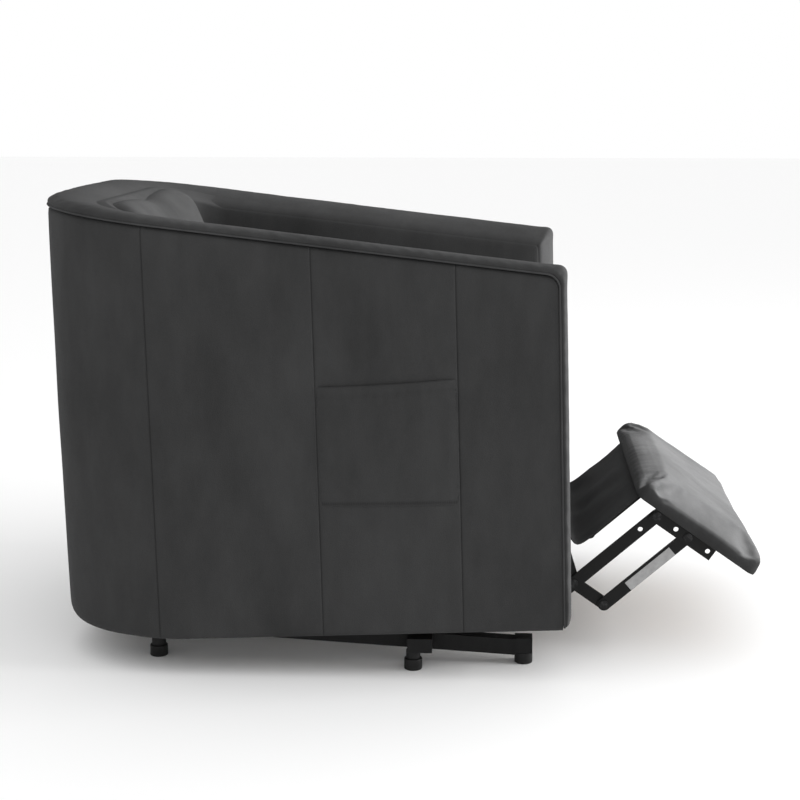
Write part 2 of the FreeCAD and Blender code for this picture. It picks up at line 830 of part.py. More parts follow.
def gap_flap():
    """The loose cloth that hangs from the front rail to the footrest."""
    rail = (-seat_front_rail_y - seat_front_rail / 2, seat_front_rail_bottom - flap_thickness)
    low = (rail[0] + flap_forward, rail[1] - flap_drop)
    end = on_pad(flap_attach, -pad_base_depth - flap_thickness)
    drop = (rail[0] + flap_start_forward, rail[1] - flap_start_drop)
    rise = ((low[0] + end[0]) / 2, (low[1] + end[1]) / 2 - flap_rise_drop)
    spline = Part.BSplineCurve()
    spline.interpolate([Vector(0, -f, h) for f, h in (rail, drop, low, rise, end)])
    sides = []
    for shift in (flap_thickness / 2, -flap_thickness / 2):
        points = []
        first = spline.FirstParameter
        span = spline.LastParameter - first
        for i in range(flap_steps + 1):
            u = first + span * i / flap_steps
            normal = spline.tangent(u)[0].cross(Vector(1, 0, 0))
            points.append(spline.value(u) + normal * shift)
        curve = Part.BSplineCurve()
        curve.interpolate(points)
        sides.append((curve.toShape(), points))
    caps = [
        Part.makeLine(sides[0][1][0], sides[1][1][0]),
        Part.makeLine(sides[0][1][-1], sides[1][1][-1]),
    ]
    wire = Part.Wire(Part.__sortEdges__([sides[0][0], caps[1], sides[1][0], caps[0]]))
    flap = Part.Face(wire)
    flap.translate(Vector(-flap_half_width, 0, 0))
    add("gap_flap", flap.extrude(Vector(2 * flap_half_width, 0, 0)))


def build_linkage(screws):
    at = link_places(opening)
    swing_links(at)
    parallel_links(at)
    stays(at)
    side_plates(at, screws)
    end = plate_out + upright_gap + plate_thickness + head_gap
    sizes = (recline_pin_radius, recline_head_radius, recline_head)
    add_group("recline_pins", [rivet(recline_place(), plate_in, end, *sizes)])
    brackets()
    footrest()
    gap_flap()


def recline_place():
    return (recline_pivot_forward, recline_pivot_height)


# ---- Base ---------------------------------------------------------------------------------------
def rail_centre(forward):
    return rail_mid_height - forward * math.tan(math.radians(rail_slope))


def base_rail():
    x = rail_spacing / 2
    half = rail_height / 2
    ends = (rail_rear, rail_front)
    outline = [(f, rail_centre(f) - half) for f in ends]
    outline += [(f, rail_centre(f) + half) for f in reversed(ends)]
    return slab(x - rail_width / 2, x + rail_width / 2, outline)


def foot(forward, x):
    """A round plastic glide."""
    cap = Part.makeCylinder(foot_radius, foot_height, Vector(x, -forward, 0))
    edges = [e for e in cap.Edges if len(e.Vertexes) == 1]
    return cap.makeFillet(foot_round, edges)


def stem(forward, x, top):
    return Part.makeCylinder(stem_radius, top - foot_height, Vector(x, -forward, foot_height))


def base_upright(rail_inner):
    """Upright plate with a side flange on each rail, for the recline pin."""
    f = recline_pivot_forward
    w = upright_width / 2
    x0 = plate_out + upright_gap
    x1 = x0 + plate_thickness
    shoulder = upright_bottom + upright_foot
    outline = [
        (f - w, upright_bottom),
        (f - w, shoulder),
        (f - w / 2, upright_top),
        (f + w / 2, upright_top),
        (f + w, shoulder),
        (f + w, upright_bottom),
    ]
    plate = slab(x0, x1, outline)
    height = rail_centre(f)
    reach = upright_flange / 2
    half = plate_thickness / 2
    flange = box(x1, rail_inner, -f - reach, -f + reach, height - half, height + half)
    plate = joined([plate, flange])
    return plate.cut(rod(x0, x1, recline_place(), recline_pin_radius + pin_clearance))


def build_base():
    x = rail_spacing / 2
    inner = x - rail_width / 2
    outer = x + rail_width / 2
    mid_x = x + mid_foot_outset
    rail = base_rail()
    w = front_post / 2
    f = front_foot_forward
    post = box(x - w, x + w, -f - w, -f + w, foot_height, front_post_top)
    add_pair("base_rail", rail.cut(post).cut(foot(f, x)))
    add_group("front_posts", [post])
    rear_top = rail_centre(rear_foot_forward)
    rear_stem = stem(rear_foot_forward, x, rear_top).cut(rail)
    add_group("foot_stems", [rear_stem, stem(mid_foot_forward, mid_x, mid_tube_bottom)])
    feet = (("front", f, x), ("middle", mid_foot_forward, mid_x), ("rear", rear_foot_forward, x))
    for name, forward, across in feet:
        add_pair("foot_" + name, foot(forward, across))
    y = -mid_tube_forward
    half = mid_tube_depth / 2
    tube = box(-inner, inner, y - half, y + half, mid_tube_bottom, mid_tube_top)
    add("base_tube_middle", tube)
    reach = mid_x + foot_radius + outrigger_end
    arm = box(outer, reach, y - half, y + half, mid_tube_bottom, mid_tube_top)
    add_group("outriggers", [arm])
    y = -rear_foot_forward
    half = rear_tube_depth / 2
    tube = box(-inner, inner, y - half, y + half, rear_tube_bottom, rear_tube_top)
    add("base_tube_rear", tube)
    add_pair("base_upright", base_upright(inner))


# ---- Put together ------------------------------------------------------------------------------
def on_base(name):
    kinds = ("base_", "front_posts", "foot_stems", "outriggers")
    return name.startswith(kinds) or name.startswith(("foot_front", "foot_middle", "foot_rear"))


def lean_back(shape):
    """Lean the tub and all it carries back to the rest position."""
    pivot = Vector(0, -recline_pivot_forward, recline_pivot_height)
    return shape.rotated(pivot, Vector(-1, 0, 0), rest_recline)


def build_all():
    """Every piece in its place, with the origin on the floor under the middle of the box."""
    build_base()
    screws = build_seat()
    build_tub()
    build_linkage(screws)
    for name in nodes:
        if not on_base(name):
            nodes[name] = lean_back(nodes[name])
    whole = Part.makeCompound(list(nodes.values())).optimalBoundingBox(False)
    shift = -(whole.YMin + whole.YMax) / 2
    for name in nodes:
        nodes[name] = nodes[name].translated(Vector(0, shift, 0))
    return shift


def row_place(place, shift, leans=True):
    """A (forward, height) place of the upright drawing, in the finished chair's frame."""
    point = Vector(0, -place[0], place[1])
    if leans:
        pivot = Vector(0, -recline_pivot_forward, recline_pivot_height)
        lean = FreeCAD.Rotation(Vector(-1, 0, 0), rest_recline)
        point = FreeCAD.Placement(Vector(0, 0, 0), lean, pivot).multVec(point)
    return Vector(0, point.y + shift, point.z)


def print_joints(shift):
    """The pivots that the joints turn about, for the record."""
    at = link_places(opening)
    for name in ("hub", "elbow", "lower", "upper_end", "lower_end", "tail"):
        place = row_place(at[name], shift)
        print("pivot", name, round(place.y, 3), round(place.z, 3))
    place = row_place(stay_pivot(), shift)
    print("pivot stay", round(place.y, 3), round(place.z, 3))
    place = row_place(recline_place(), shift, leans=False)
    print("pivot recline", round(place.y, 3), round(place.z, 3))
    stay_ratio = (stay_angle(90.0) - stay_angle(0.0)) / 90.0
    print("stay ratio", round(stay_ratio, 4))


def main():
    shift = build_all()
    os.makedirs("parts", exist_ok=True)
    for name, shape in nodes.items():
        shape.exportStep("parts/" + name + ".step")
        print(name, len(shape.Solids), shape.isValid(), round(shape.Volume / 1000, 1))
    print_joints(shift)


main()
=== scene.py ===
"""Looks of the push-back tub recliner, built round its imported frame.

Metres. +Z is up, the sitter looks along -Y, and -X is the sitter's right hand. The tub's
pieces are drawn with the tub upright and then leaned back to its rest place.
"""
import json
import logging
import math
from dataclasses import dataclass, field
from enum import Enum
from typing import Callable, Sequence

import bmesh
import bpy
import numpy as np
from mathutils import Matrix, Vector, noise


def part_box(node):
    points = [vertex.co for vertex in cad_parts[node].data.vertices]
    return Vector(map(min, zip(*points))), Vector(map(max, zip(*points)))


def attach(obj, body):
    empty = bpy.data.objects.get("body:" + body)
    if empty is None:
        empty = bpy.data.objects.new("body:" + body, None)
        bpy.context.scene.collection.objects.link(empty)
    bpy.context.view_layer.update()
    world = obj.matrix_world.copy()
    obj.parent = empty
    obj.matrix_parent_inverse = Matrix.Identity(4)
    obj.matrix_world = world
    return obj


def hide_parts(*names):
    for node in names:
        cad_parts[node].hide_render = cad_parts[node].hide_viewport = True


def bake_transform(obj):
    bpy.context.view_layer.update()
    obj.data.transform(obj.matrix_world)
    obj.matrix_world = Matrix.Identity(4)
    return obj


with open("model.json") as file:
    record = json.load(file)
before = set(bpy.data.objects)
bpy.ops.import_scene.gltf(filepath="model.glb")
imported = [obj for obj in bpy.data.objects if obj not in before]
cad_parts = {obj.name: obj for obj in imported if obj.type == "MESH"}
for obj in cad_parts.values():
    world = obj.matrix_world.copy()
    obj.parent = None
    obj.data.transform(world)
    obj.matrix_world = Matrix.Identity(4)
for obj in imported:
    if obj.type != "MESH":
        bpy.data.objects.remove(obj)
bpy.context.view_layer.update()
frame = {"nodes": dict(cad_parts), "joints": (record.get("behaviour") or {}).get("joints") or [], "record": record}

log = logging.getLogger("recliner")
SEWN = "sewn"
MM = 0.001


# ---- Places ------------------------------------------------------------------------------------
class Side(Enum):
    """The two sides of the chair, by the sign of X."""

    RIGHT = -1
    LEFT = 1


class Direction(Enum):
    """How far a wrinkle runs along each axis of a noise field, per metre."""

    EVEN = (9.0, 9.0, 9.0)
    UPRIGHT = (16.0, 16.0, 5.0)
    SLANTED = (12.0, 7.0, 9.0)


class Local:
    """A drawing frame of a sub-assembly, and the CAD nodes' places in it."""

    def __init__(self, matrix: Matrix) -> None:
        """Keep the matrix that takes the drawing to the row frame.

        Args:
            matrix: From drawing to row frame.
        """
        self.matrix = matrix
        self.inverse = matrix.inverted()

    def box(self, node: str) -> tuple[Vector, Vector]:
        """A CAD node's lowest and highest corner in this drawing.

        Args:
            node: Name of the CAD node.

        Returns:
            The two corners.
        """
        points = [self.inverse @ v.co for v in frame["nodes"][node].data.vertices]
        low = Vector(min(p[i] for p in points) for i in range(3))
        high = Vector(max(p[i] for p in points) for i in range(3))
        return low, high


def joint(name: str) -> dict:
    """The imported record's joint of that name."""
    return next(j for j in frame["joints"] if j["name"] == name)


def leaned_drawing() -> Local:
    """The upright drawing of the tub, leaned back about the recline pins.

    Returns:
        The drawing frame.
    """
    low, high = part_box("recline_pins")
    pivot = Vector((0.0, (low.y + high.y) / 2, (low.z + high.z) / 2))
    lean = math.radians(joint("tub_recline")["range_deg"][0])
    turn = Matrix.Rotation(lean, 4, "X")
    return Local(Matrix.Translation(pivot) @ turn @ Matrix.Translation(-pivot))


def pad_drawing() -> Local:
    """The footrest's drawing: X along the pad, Y across to the left, Z up from its top.

    Returns:
        The drawing frame.
    """
    opened = -joint("footrest_swing")["range_deg"][0] - joint("tub_recline")["range_deg"][0]
    tilt = math.radians(90.0 - opened)
    along = Vector((0.0, -math.cos(tilt), -math.sin(tilt)))
    up = Vector((0.0, -math.sin(tilt), math.cos(tilt)))
    across = Vector((1.0, 0.0, 0.0))
    turn = Matrix((along, across, up)).transposed().to_4x4()
    low, high = Local(turn).box("footrest_pad")
    origin = turn @ Vector((low.x, 0.0, high.z))
    return Local(Matrix.Translation(origin) @ turn)


# ---- Mesh helpers ------------------------------------------------------------------------------
def finished(name: str, bm: bmesh.types.BMesh, matrix: Matrix | None = None) -> bpy.types.Object:
    """Turn a bmesh into a smooth-shaded object whose place is in its mesh.

    Args:
        name: Name of the piece.
        bm: Its geometry, freed here.
        matrix: From the drawing to the row frame.

    Returns:
        The linked object.
    """
    if matrix is not None:
        bmesh.ops.transform(bm, matrix=matrix, verts=bm.verts)
    mesh = bpy.data.meshes.new(name)
    for face in bm.faces:
        face.smooth = True
    bm.to_mesh(mesh)
    bm.free()
    piece = bpy.data.objects.new(name, mesh)
    bpy.context.scene.collection.objects.link(piece)
    return piece


def skin(rings: Sequence[Sequence[Vector]]) -> bmesh.types.BMesh:
    """Close a skin over rings of points, with a cap at each end.

    Args:
        rings: Rings of equally many points, none of which meet.

    Returns:
        A closed bmesh with its faces outwards.
    """
    steps, points = len(rings) - 1, len(rings[0])
    bm = bmesh.new()
    bmesh.ops.create_grid(bm, x_segments=steps, y_segments=points, size=1.0)
    for vert in bm.verts:
        i = round((vert.co.x + 1) / 2 * steps)
        j = round((vert.co.y + 1) / 2 * points) % points
        vert.co = rings[i][j]
    bmesh.ops.remove_doubles(bm, verts=bm.verts, dist=0.001 * MM)
    rims = [edge for edge in bm.edges if edge.is_boundary]
    bmesh.ops.holes_fill(bm, edges=rims, sides=0)
    bmesh.ops.recalc_face_normals(bm, faces=bm.faces)
    return bm


def smooth_once(piece: bpy.types.Object) -> bpy.types.Object:
    """Give a piece one level of subdivision.

    Args:
        piece: The piece.

    Returns:
        The same piece.
    """
    finer = piece.modifiers.new("Subdivision", "SUBSURF")
    finer.levels = 1
    finer.render_levels = 1
    return piece


def sew(piece: bpy.types.Object, share: Callable[[Vector], float]) -> None:
    """Mark a piece's sewn lines, for its finish to darken.

    Args:
        piece: The piece.
        share: Gives 1 on a sewn line and 0 away from it, from a point.
    """
    marks = piece.data.attributes.new(SEWN, "FLOAT", "POINT")
    for vert, mark in zip(piece.data.vertices, marks.data):
        mark.value = share(vert.co)


def ripple(point: Vector, direction: Direction, finer: float = 1.0) -> float:
    """A smooth wrinkle field from -1 to 1.

    Args:
        point: Where it is read.
        direction: Which way its wrinkles run.
        finer: How much finer than the named direction's scale.

    Returns:
        The field's value.
    """
    scaled = Vector(c * s * finer for c, s in zip(point, direction.value))
    return noise.noise(scaled)


def bell(distance: float, width: float) -> float:
    """1 at no distance, and near 0 past two widths."""
    return math.exp(-((distance / width) ** 2))


def spread(low: float, high: float, steps: int) -> list[float]:
    """Evenly spaced values from low to high, both ends included."""
    return [low + (high - low) * i / steps for i in range(steps + 1)]


# ---- Finishes ----------------------------------------------------------------------------------
def grey(tone: float) -> tuple[float, float, float]:
    """An even grey of that tone."""
    return (tone, tone, tone)


class Nodes:
    """A material's node tree, with short calls to add and join nodes."""

    def __init__(self, name: str) -> None:
        """Start an empty material of that name.

        Args:
            name: The material's name.
        """
        self.material = bpy.data.materials.new(name)
        self.material.use_nodes = True
        self.tree = self.material.node_tree
        self.shader = self.tree.nodes["Principled BSDF"]
        place = self.tree.nodes.new("ShaderNodeTexCoord")
        self.place = place.outputs["Object"]
        self.normal = place.outputs["Normal"]

    def set(self, **values: object) -> None:
        """Set sockets of the shader, with _ for each space in their names."""
        for name, value in values.items():
            self.shader.inputs[name.replace("_", " ")].default_value = value

    def stretched(self, scale: tuple[float, float, float], turn: float = 0.0) -> bpy.types.NodeSocket:
        """Object coordinates scaled along each axis.

        Args:
            scale: Factor on each axis.
            turn: Turn about X, in radians.

        Returns:
            The mapped vector.
        """
        mapping = self.tree.nodes.new("ShaderNodeMapping")
        mapping.inputs["Scale"].default_value = scale
        mapping.inputs["Rotation"].default_value = (turn, 0.0, 0.0)
        self.tree.links.new(self.place, mapping.inputs["Vector"])
        return mapping.outputs["Vector"]

    def noise(
        self, scale: float, detail: float = 2.0, rough: float = 0.5, at: bpy.types.NodeSocket | None = None
    ) -> bpy.types.NodeSocket:
        """A noise field.

        Args:
            scale: Its scale, per metre.
            detail: Number of octaves.
            rough: Weight of the finer octaves.
            at: Coordinates, or None for the object's own.

        Returns:
            The noise value.
        """
        node = self.tree.nodes.new("ShaderNodeTexNoise")
        node.inputs["Scale"].default_value = scale
        node.inputs["Detail"].default_value = detail
        node.inputs["Roughness"].default_value = rough
        self.tree.links.new(at or self.place, node.inputs["Vector"])
        return node.outputs["Fac"]

    def wave(self, scale: float, along: str, distort: float = 0.0) -> bpy.types.NodeSocket:
        """Bands across one axis.

        Args:
            scale: Bands per metre, over pi.
            along: The axis, X, Y or Z.
            distort: How much the bands wander.

        Returns:
            The band value.
        """
        node = self.tree.nodes.new("ShaderNodeTexWave")
        node.bands_direction = along
        node.inputs["Scale"].default_value = scale
        node.inputs["Distortion"].default_value = distort
        self.tree.links.new(self.place, node.inputs["Vector"])
        return node.outputs["Fac"]

    def ramp(
        self, value: bpy.types.NodeSocket, low: float, high: float, start: tuple, end: tuple
    ) -> bpy.types.NodeSocket:
        """Turn a value into a colour between two colours.

        Args:
            value: The value.
            low: Where the first colour ends.
            high: Where the second begins.
            start: First colour, three numbers.
            end: Second colour, three numbers.

        Returns:
            The colour.
        """
        node = self.tree.nodes.new("ShaderNodeValToRGB")
        node.color_ramp.elements[0].position = low
        node.color_ramp.elements[0].color = (*start, 1.0)
        node.color_ramp.elements[1].position = high
        node.color_ramp.elements[1].color = (*end, 1.0)
        self.tree.links.new(value, node.inputs["Fac"])
        return node.outputs["Color"]

    def mixed(
        self,
        a: bpy.types.NodeSocket,
        b: bpy.types.NodeSocket,
        share: float | bpy.types.NodeSocket,
        how: str = "MIX",
    ) -> bpy.types.NodeSocket:
        """Blend two colours or values.

        Args:
            a: The lower one.
            b: The upper one.
            share: Weight of the upper one, a number or a value of the tree.
            how: Blend type.

        Returns:
            The blended colour.
        """
        node = self.tree.nodes.new("ShaderNodeMix")
        node.data_type = "RGBA"
        node.blend_type = how
        if isinstance(share, bpy.types.NodeSocket):
            self.tree.links.new(share, node.inputs["Factor"])
        else:
            node.inputs["Factor"].default_value = share
        self.tree.links.new(a, node.inputs[6])
        self.tree.links.new(b, node.inputs[7])
        return node.outputs[2]

    def colour(self, source: bpy.types.NodeSocket) -> None:
        """Join a colour to the shader."""
        self.tree.links.new(source, self.shader.inputs["Base Color"])

    def roughness(self, value: bpy.types.NodeSocket, low: float, high: float) -> None:
        """Join a value to the shader's roughness, between two limits.

        Args:
            value: From 0 to 1.
            low: Roughness at 0.
            high: Roughness at 1.
        """
        node = self.tree.nodes.new("ShaderNodeMapRange")
        node.inputs["To Min"].default_value = low
        node.inputs["To Max"].default_value = high
        self.tree.links.new(value, node.inputs["Value"])
        self.tree.links.new(node.outputs["Result"], self.shader.inputs["Roughness"])

    def darkened(self, colour: bpy.types.NodeSocket, pitch: float, along: str) -> bpy.types.NodeSocket:
        """Darken a colour along sewn lines, with a stitch at each pitch.

        Args:
            colour: The cloth's colour.
            pitch: Length of a stitch.
            along: The axis the stitches follow.

        Returns:
            The colour with its seams.
        """
        sewn = self.tree.nodes.new("ShaderNodeAttribute")
        sewn.attribute_name = SEWN
        bands = self.wave(math.pi / (10 * pitch), along)
        stitch = self.ramp(bands, 0.3, 0.6, grey(0.3), grey(0.62))
        return self.mixed(colour, stitch, sewn.outputs["Fac"], "MULTIPLY")

    def facing(self, way: Vector, low: float, high: float) -> bpy.types.NodeSocket:
        """How far a surface faces a way, in the piece's own space.

        Args:
            way: Unit vector.
            low: Cosine that counts as 0.
            high: Cosine that counts as 1.

        Returns:
            A value from 0 to 1.
        """
        dot = self.tree.nodes.new("ShaderNodeVectorMath")
        dot.operation = "DOT_PRODUCT"
        dot.inputs[1].default_value = way
        self.tree.links.new(self.normal, dot.inputs[0])
        span = self.tree.nodes.new("ShaderNodeMapRange")
        span.interpolation_type = "SMOOTHSTEP"
        span.inputs["From Min"].default_value = low
        span.inputs["From Max"].default_value = high
        self.tree.links.new(dot.outputs["Value"], span.inputs["Value"])
        return span.outputs["Result"]

    def brighter(self, colour: bpy.types.NodeSocket, gain: float) -> bpy.types.NodeSocket:
        """A colour times a number.

        Args:
            colour: The colour.
            gain: The number.

        Returns:
            The brighter colour.
        """
        node = self.tree.nodes.new("ShaderNodeVectorMath")
        node.operation = "SCALE"
        node.inputs["Scale"].default_value = gain
        self.tree.links.new(colour, node.inputs[0])
        return node.outputs["Vector"]

    def bump(self, layers: Sequence[tuple[bpy.types.NodeSocket, float]]) -> None:
        """Stack relief layers on the shader.

        Args:
            layers: Pairs of a height and its depth in metres.
        """
        under = None
        for height, depth in layers:
            node = self.tree.nodes.new("ShaderNodeBump")
            node.inputs["Distance"].default_value = depth
            self.tree.links.new(height, node.inputs["Height"])
            if under is not None:
                self.tree.links.new(under, node.inputs["Normal"])
            under = node.outputs["Normal"]
        self.tree.links.new(under, self.shader.inputs["Normal"])


@dataclass(frozen=True)
class PileCloth:
    """Short-pile upholstery cloth, in soft patches, with painted light: a brighter copy of its colour on surfaces
    facing one way.
    """

    name: str = "charcoal_pile"
    deep: tuple[float, float, float] = (0.028, 0.0281, 0.0283)
    raised: tuple[float, float, float] = (0.047, 0.0472, 0.0476)
    patch_scale: float = 6.5
    stroke_scale: float = 38.0
    stroke_share: float = 0.25
    fleck_scale: float = 420.0
    fleck_depth: float = 0.5 * MM
    fibre_scale: float = 1500.0
    fibre_depth: float = 0.35 * MM
    speckle_share: float = 0.55
    stitch_pitch: float = 3.4 * MM
    stitch_axis: str = "Z"
    sheen: float = 0.03
    sheen_tint: tuple[float, float, float, float] = (0.75, 0.76, 0.78, 1.0)
    # Painted light: surfaces facing this way get the cloth's colour times the gain, standing in for the lamp's
    # light.
    painted_light_way: tuple[float, float, float] | None = None
    painted_light_gain: float = 5.6

    def make(self) -> bpy.types.Material:
        """Build the material.

        Returns:
            The material.
        """
        kit = Nodes(self.name)
        patches = kit.noise(self.patch_scale, 4.0, 0.55, kit.stretched((1.0, 1.0, 0.6)))
        strokes = kit.noise(self.stroke_scale, 3.0, 0.6, kit.stretched((1.0, 1.0, 0.35), 0.35))
        fibres = kit.noise(self.fibre_scale, 3.0, 0.7)
        flecks = kit.noise(self.fleck_scale, 2.0, 0.6)
        ground = kit.ramp(patches, 0.30, 0.72, self.deep, self.raised)
        stroked = kit.ramp(strokes, 0.35, 0.7, self.deep, self.raised)
        speckle = kit.ramp(fibres, 0.3, 0.75, grey(0.62), grey(1.25))
        cloth = kit.mixed(ground, stroked, self.stroke_share)
        cloth = kit.mixed(cloth, speckle, self.speckle_share, "MULTIPLY")
        # Painted light: a brighter copy of the colour, blended in by how far the surface faces the given way.
        if self.painted_light_way is not None:
            painted_light_colour = kit.brighter(cloth, self.painted_light_gain)
            cloth = kit.mixed(cloth, painted_light_colour, kit.facing(Vector(self.painted_light_way), 0.3, 0.97))
        kit.colour(kit.darkened(cloth, self.stitch_pitch, self.stitch_axis))
        kit.roughness(flecks, 0.82, 0.96)
        kit.set(Specular_IOR_Level=0.12, Sheen_Weight=self.sheen, Sheen_Roughness=0.42)
        kit.set(Sheen_Tint=self.sheen_tint)
        kit.bump([(flecks, self.fleck_depth), (fibres, self.fibre_depth)])
        return kit.material


@dataclass(frozen=True)
class StrapWeave:
    """Woven elastic webbing, dark between its threads."""

    name: str = "seat_webbing_weave"
    dark: tuple[float, float, float] = (0.018, 0.018, 0.019)
    light: tuple[float, float, float] = (0.095, 0.095, 0.098)
    threads_across: float = 190.0
    threads_along: float = 240.0
    thread_depth: float = 0.4 * MM

    def make(self) -> bpy.types.Material:
        """Build the material.

        Returns:
            The material.
        """
        kit = Nodes(self.name)
        across = kit.wave(self.threads_across, "X")
        along = kit.wave(self.threads_along, "Y")
        weave = kit.mixed(across, along, 0.5, "MULTIPLY")
        wear = kit.noise(60.0, 3.0)
        threads = kit.ramp(weave, 0.15, 0.8, self.dark, self.light)
        faded = kit.ramp(wear, 0.3, 0.8, grey(0.7), grey(1.2))
        kit.colour(kit.mixed(threads, faded, 0.6, "MULTIPLY"))
        kit.roughness(wear, 0.75, 0.92)
        kit.bump([(weave, self.thread_depth)])
        return kit.material


@dataclass(frozen=True)
class RawBoard:
    """Sawn softwood and board: grain along Y, with darker growth lines."""

    name: str = "raw_frame_wood"
    pale: tuple[float, float, float] = (0.56, 0.40, 0.245)
    dark: tuple[float, float, float] = (0.36, 0.225, 0.12)
    grain_scale: float = 34.0
    fibre_scale: float = 260.0
    fibre_depth: float = 0.25 * MM

    def make(self) -> bpy.types.Material:
        """Build the material.

        Returns:
            The material.
        """
        kit = Nodes(self.name)
        grain = kit.noise(self.grain_scale, 5.0, 0.6, kit.stretched((3.2, 0.35, 3.2)))
        fibres = kit.noise(self.fibre_scale, 3.0, 0.6, kit.stretched((1.0, 0.08, 1.0)))
        lines = kit.ramp(grain, 0.32, 0.66, self.dark, self.pale)
        pores = kit.ramp(fibres, 0.3, 0.7, grey(0.8), grey(1.1))
        boards = kit.ramp(kit.noise(5.0, 2.0), 0.3, 0.7, (0.85, 0.82, 0.8), (1.08, 1.05, 1.0))
        kit.colour(kit.mixed(kit.mixed(lines, pores, 0.6, "MULTIPLY"), boards, 0.7, "MULTIPLY"))
        kit.roughness(fibres, 0.6, 0.85)
        kit.bump([(fibres, self.fibre_depth)])
        return kit.material


@dataclass(frozen=True)
class HardFinish:
    """A hard finish between two tones, blended by its wear, over a fine relief."""

    name: str
    tone: tuple[float, float, float]
    worn: tuple[float, float, float]
    wear_scale: float
    wear_detail: float
    wear_rough: float
    wear_limits: tuple[float, float]
    roughness: tuple[float, float]
    relief_scale: float
    relief_depth: float
    wear_stretch: tuple[float, float, float] | None = None
    specular: float = 0.5
    metallic: float = 0.0

    def make(self) -> bpy.types.Material:
        """Build the material.

        Returns:
            The material.
        """
        kit = Nodes(self.name)
        at = kit.stretched(self.wear_stretch) if self.wear_stretch else None
        wear = kit.noise(self.wear_scale, self.wear_detail, self.wear_rough, at)
        kit.colour(kit.ramp(wear, *self.wear_limits, self.tone, self.worn))
        kit.roughness(wear, *self.roughness)
        kit.set(Specular_IOR_Level=self.specular, Metallic=self.metallic)
        kit.bump([(kit.noise(self.relief_scale), self.relief_depth)])
        return kit.material


POWDER_COAT = HardFinish(
    name="black_powder_coat", tone=(0.0032, 0.0032, 0.0033), worn=(0.008, 0.008, 0.0081),
    wear_scale=28.0, wear_detail=6.0, wear_rough=0.7, wear_limits=(0.45, 0.8),
    roughness=(0.42, 0.62), relief_scale=950.0, relief_depth=0.12 * MM,
    wear_stretch=(1.0, 2.5, 1.0), specular=0.2,
)
BLACKENED_STEEL = HardFinish(
    name="blackened_fasteners", tone=(0.012, 0.012, 0.0122), worn=(0.05, 0.05, 0.051),
    wear_scale=210.0, wear_detail=4.0, wear_rough=0.65, wear_limits=(0.45, 0.75),
    roughness=(0.32, 0.5), relief_scale=1400.0, relief_depth=0.06 * MM, metallic=0.8,
)
GLIDE_PLASTIC = HardFinish(
    name="black_glide_plastic", tone=(0.004, 0.004, 0.0041), worn=(0.009, 0.009, 0.0091),
    wear_scale=70.0, wear_detail=4.0, wear_rough=0.6, wear_limits=(0.4, 0.75),
    roughness=(0.34, 0.54), relief_scale=1300.0, relief_depth=0.08 * MM, specular=0.25,
)
BLANK_FILM = HardFinish(
    name="blank_label_film", tone=grey(0.27), worn=grey(0.36),
    wear_scale=90.0, wear_detail=4.0, wear_rough=0.6, wear_limits=(0.3, 0.7),
    roughness=(0.4, 0.6), relief_scale=500.0, relief_depth=0.05 * MM,
)


@dataclass
class Finishes:
    """Every finish of the chair, made once."""

    # The cover carries painted light: its front-facing surfaces are 2.3 times brighter, where the front lamp
    # falls.
    cover: bpy.types.Material = field(
        default_factory=lambda: PileCloth(painted_light_way=(0.0, -0.94, 0.34), painted_light_gain=2.3).make()
    )
    # The footrest pad's cloth, with strong painted light on its top, which faces the lamp.
    pad_top_painted_light: bpy.types.Material = field(
        default_factory=lambda: PileCloth(
            name="charcoal_pile_pad_top_painted_light", painted_light_way=tuple(pad_drawing().matrix.col[2][:3])
        ).make()
    )
    pocket: bpy.types.Material = field(
        default_factory=lambda: PileCloth(name="charcoal_pile_pocket", stitch_axis="Y").make()
    )
    piping: bpy.types.Material = field(
        default_factory=lambda: PileCloth(
            name="charcoal_piping_painted_highlight",
            # The piping's tones are lighter than the cover's: a painted highlight along the cord.
            deep=(0.034, 0.0342, 0.0346),
            raised=(0.062, 0.0623, 0.063),
            fibre_scale=2200.0,
        ).make()
    )
    webbing: bpy.types.Material = field(default_factory=lambda: StrapWeave().make())
    wood: bpy.types.Material = field(default_factory=lambda: RawBoard().make())
    steel: bpy.types.Material = field(default_factory=POWDER_COAT.make)
    rivets: bpy.types.Material = field(default_factory=BLACKENED_STEEL.make)
    plastic: bpy.types.Material = field(default_factory=GLIDE_PLASTIC.make)
    film: bpy.types.Material = field(default_factory=BLANK_FILM.make)

    def dress(self, piece: bpy.types.Object, material: bpy.types.Material) -> None:
        """Give a piece that material alone."""
        piece.data.materials.clear()
        piece.data.materials.append(material)


# ---- Tub plan ----------------------------------------------------------------------------------
@dataclass(frozen=True)
class Station:
    """A place along the wall: its outer and inner edge in plan, and the way across."""

    outer: Vector
    inner: Vector

    @property
    def across(self) -> Vector:
        """Unit way from the outer to the inner face."""
        return (self.inner - self.outer).normalized()

    @property
    def thickness(self) -> float:
        """Distance between the faces."""
        return (self.inner - self.outer).length


